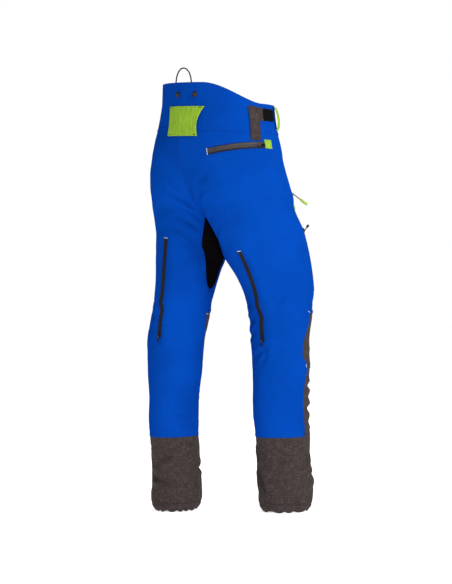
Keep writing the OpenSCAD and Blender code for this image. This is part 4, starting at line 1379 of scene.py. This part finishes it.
build_tunnel()
for side_name, side_sign in SIDES.items():
    build_waist_trim(side_name, side_sign)
tab("rear_tab_webbing", "rear_pocket_tab", RIGHT, 0.505, 0.557, 942, 966)
for side_name, side_sign in SIDES.items():
    tab(f"hand_tab_webbing_{side_name}", f"hand_pocket_tab_{side_name}", side_sign, 0.375, 0.40, 783, 811)
    tack_on(side_sign, 0.3875, 789, 0, 3.2, BLUE_THREAD, 2.9, 2.6)
bag("rear_bag_cloth", "rear_pocket_bag", RIGHT, 0.57, 0.84, 800, 950)
bag("hand_bag_cloth_left", "hand_pocket_bag_left", LEFT, 0.12, 0.34, 775, 965)
bag("hand_bag_cloth_right", "hand_pocket_bag_right", RIGHT, 0.12, 0.34, 775, 965)
bag("thigh_bag_cloth", "thigh_pocket_bag", RIGHT, 0.26, 0.345, 560, 730)
for side_name, side_sign in SIDES.items():
    cut_pad(side_name, side_sign)
build_placket()

# ---- Buttons and hanging loop ----

# Sections of the buttons: radius, height.
BRACE_RIM = [(0, -3.3), (6.2, -3.2), (6.5, -2.95), (6.2, -2.7), (3.3, -2.7), (3.0, -2.6), (3.0, 1.2),
             (3.2, 1.4), (6.6, 1.5), (7.3, 1.9), (7.5, 2.5), (7.2, 3.1), (6.4, 3.6), (4.6, 3.8),
             (3.9, 3.75), (3.4, 3.05), (3.1, 2.9), (0, 2.9)]
BRACE_CENTRE = [(0, 2.7), (3.25, 2.8), (3.1, 3.15), (2.4, 3.3), (1.6, 3.1), (1.3, 3.1), (0.9, 3.3), (0, 3.35)]
WAIST_BUTTON = [(0, 0.3), (3.2, 0.4), (7.6, 0.6), (8.4, 1.2), (8.5, 2.1), (8.0, 2.7), (6.8, 2.9),
                (5.1, 2.75), (4.6, 2.2), (3.7, 2.2), (3.4, 2.5), (0, 2.5)]


def face_out(side, t, h):
    """The placing that lays +Z along the level outward direction."""
    n = outward(side, np.array(t, float), np.array(h, float))
    turn = Matrix.Rotation(math.atan2(n[1], n[0]), 4, "Z") @ Matrix.Rotation(math.pi / 2, 4, "Y")
    return Matrix.Translation(Vector(surface(side, t, h))) @ turn


def build_buttons():
    for row, t, h in (("rear", 0.942, 1077), ("front", 0.2, 1020)):
        for word, side in SIDES.items():
            place, name = face_out(side, t, h), f"brace_button_{row}_{word}"
            assemble(name + "_rim", [turned(BRACE_RIM)], place, ENAMEL, BODY, name)
            assemble(name + "_centre", [turned(BRACE_CENTRE, 32)], place, BRONZE, BODY)
            ring = np.linspace(0, 2 * np.pi, 30)
            sew_on(side, t + 10.5 / GIRTH * np.cos(ring), h + 10.5 * np.sin(ring), 0.0, BLUE_THREAD, 2.8)
    assemble("waist_button_metal", [turned(WAIST_BUTTON)], face_out(LEFT, 0.02, 1022), STEEL,
             BODY, "waist_button")


LOOP_X, LOOP_HALF_W, LOOP_RISE, LOOP_FOOT, LOOP_STEPS = 16.0, 30.0, 37.0, 16.0, 24
CORD_D, BAND_BEND = 3.5, 215.0


def build_hanging_loop():
    """A braided cord that stands up from inside the raised back."""
    top = WAIST_H + BACK_RISE
    w = 1 - 2 * np.arange(LOOP_STEPS + 1) / LOOP_STEPS
    x = LOOP_X + LOOP_HALF_W * np.sin(np.pi / 2 * w)
    y = skin(LEFT, 1.0, top)[1] - CLOTH - 0.4 - CORD_D / 2 - x**2 / (2 * BAND_BEND)
    rise = mix(-LOOP_FOOT, LOOP_RISE, np.abs(np.cos(np.pi / 2 * w)) ** 0.75)
    route = np.stack([x, y, BACK_RISE + TILT * LOOP_X + rise], -1)
    curve = bpy.data.curves.new("hanging_loop_cord", "CURVE")
    curve.dimensions, curve.bevel_depth, curve.bevel_resolution = "3D", CORD_D / 2 * MM, 5
    curve.use_fill_caps = True
    spline = curve.splines.new("POLY")
    spline.points.add(len(route) - 1)
    for point, p in zip(spline.points, route * MM):
        point.co = (*p, 1)
    curve.materials.append(CORD)
    piece = place_piece("hanging_loop_cord", curve, BODY)
    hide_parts("hanging_loop")
    half_width = station(TORSO, top)[1]

    def over(u):
        return 4.3 * np.exp(-(((u - 0.5) * 17 / 2.7) ** 4))
    for name, x in (("loop_anchor_1", LOOP_X - LOOP_HALF_W), ("loop_anchor_2", LOOP_X + LOOP_HALF_W)):
        t = 1 - math.asin(abs(x) / half_width) / math.pi
        place = oblong(LEFT if x > 0 else RIGHT, t - 8.5 / GIRTH, t + 8.5 / GIRTH, top - 27, top - 6)
        patch(name, None, place, 22, 26, lambda u, v: -3.3 - over(u), lambda u, v: -2.1 - over(u),
              WEBBING)


build_buttons()
build_hanging_loop()
finish_stitches()

# ---- Stage, light and camera ----

CAMERA_AZIMUTH, CAMERA_DISTANCE = 222.0, 4.5
VIEW_HEIGHT = 1.536  # what the camera takes in from bottom to top, at the trousers
SHIFT_RIGHT, EYE_H = 0.021, 568.0


def build_stage():
    floor = bpy.data.meshes.new("floor")
    ring = [(x, y, cad_low.z - 0.0004) for x, y in arc(0, 0, 30.0, np.linspace(0, 2 * math.pi, 64, False))]
    floor.from_pydata(ring, [], [list(range(64))])
    piece = bpy.data.objects.new("floor", floor)
    bpy.context.scene.collection.objects.link(piece)
    f = Finish("floor", Roughness=0.9, Specular_IOR_Level=0.1, Emission_Color=(1, 1, 1, 1),
               Emission_Strength=0.72)
    where = f.node("TexCoord").outputs["Object"]
    floor.materials.append(f.done(f.blend((0.78, 0.78, 0.78, 1), (0.80, 0.80, 0.80, 1), f.noise(where, 3))))
    world = bpy.data.worlds.new("studio")
    bpy.context.scene.world = world
    world.use_nodes = True
    tree = world.node_tree
    back, white = tree.nodes["Background"], tree.nodes.new("ShaderNodeBackground")
    for background, strength in ((back, 0.38), (white, 1.0)):
        background.inputs[0].default_value = (1, 1, 1, 1)
        background.inputs[1].default_value = strength
    path, pick = tree.nodes.new("ShaderNodeLightPath"), tree.nodes.new("ShaderNodeMixShader")
    tree.links.new(path.outputs["Is Camera Ray"], pick.inputs[0])
    tree.links.new(back.outputs[0], pick.inputs[1])
    tree.links.new(white.outputs[0], pick.inputs[2])
    tree.links.new(pick.outputs[0], tree.nodes["World Output"].inputs["Surface"])


def soft_light(name, azimuth, elevation, distance, size, power):
    light = bpy.data.lights.new(name, "AREA")
    light.shape, light.size, light.energy = "DISK", size, power
    piece = bpy.data.objects.new(name, light)
    bpy.context.scene.collection.objects.link(piece)
    a, e = math.radians(azimuth), math.radians(elevation)
    toward = Vector((math.sin(a) * math.cos(e), -math.cos(a) * math.cos(e), math.sin(e)))
    piece.location = Vector((0, 0, -0.5)) + toward * distance
    piece.rotation_mode = "QUATERNION"
    piece.rotation_quaternion = (-toward).to_track_quat("-Z", "Y")


def build_camera():
    a = math.radians(CAMERA_AZIMUTH)
    back = Vector((math.sin(a), -math.cos(a), 0))
    right = Vector((math.cos(a), math.sin(a), 0))
    data = bpy.data.cameras.new("camera")
    data.sensor_width = 36
    data.lens = 36 * CAMERA_DISTANCE / VIEW_HEIGHT
    piece = bpy.data.objects.new("camera", data)
    bpy.context.scene.collection.objects.link(piece)
    piece.location = right * SHIFT_RIGHT + Vector((0, 0, (EYE_H - WAIST_H) * MM)) + back * CAMERA_DISTANCE
    piece.rotation_mode = "QUATERNION"
    piece.rotation_quaternion = (-back).to_track_quat("-Z", "Y")
    bpy.context.scene.camera = piece
    bpy.context.scene.view_settings.view_transform = "Standard"


build_stage()
soft_light("key", 262, 42, 3.4, 1.2, 66)
soft_light("fill", 205, 14, 4.0, 2.6, 24)
soft_light("front_key", 20, 40, 3.4, 1.8, 42)
soft_light("front_fill", 320, 15, 3.4, 2.4, 16)
build_camera()
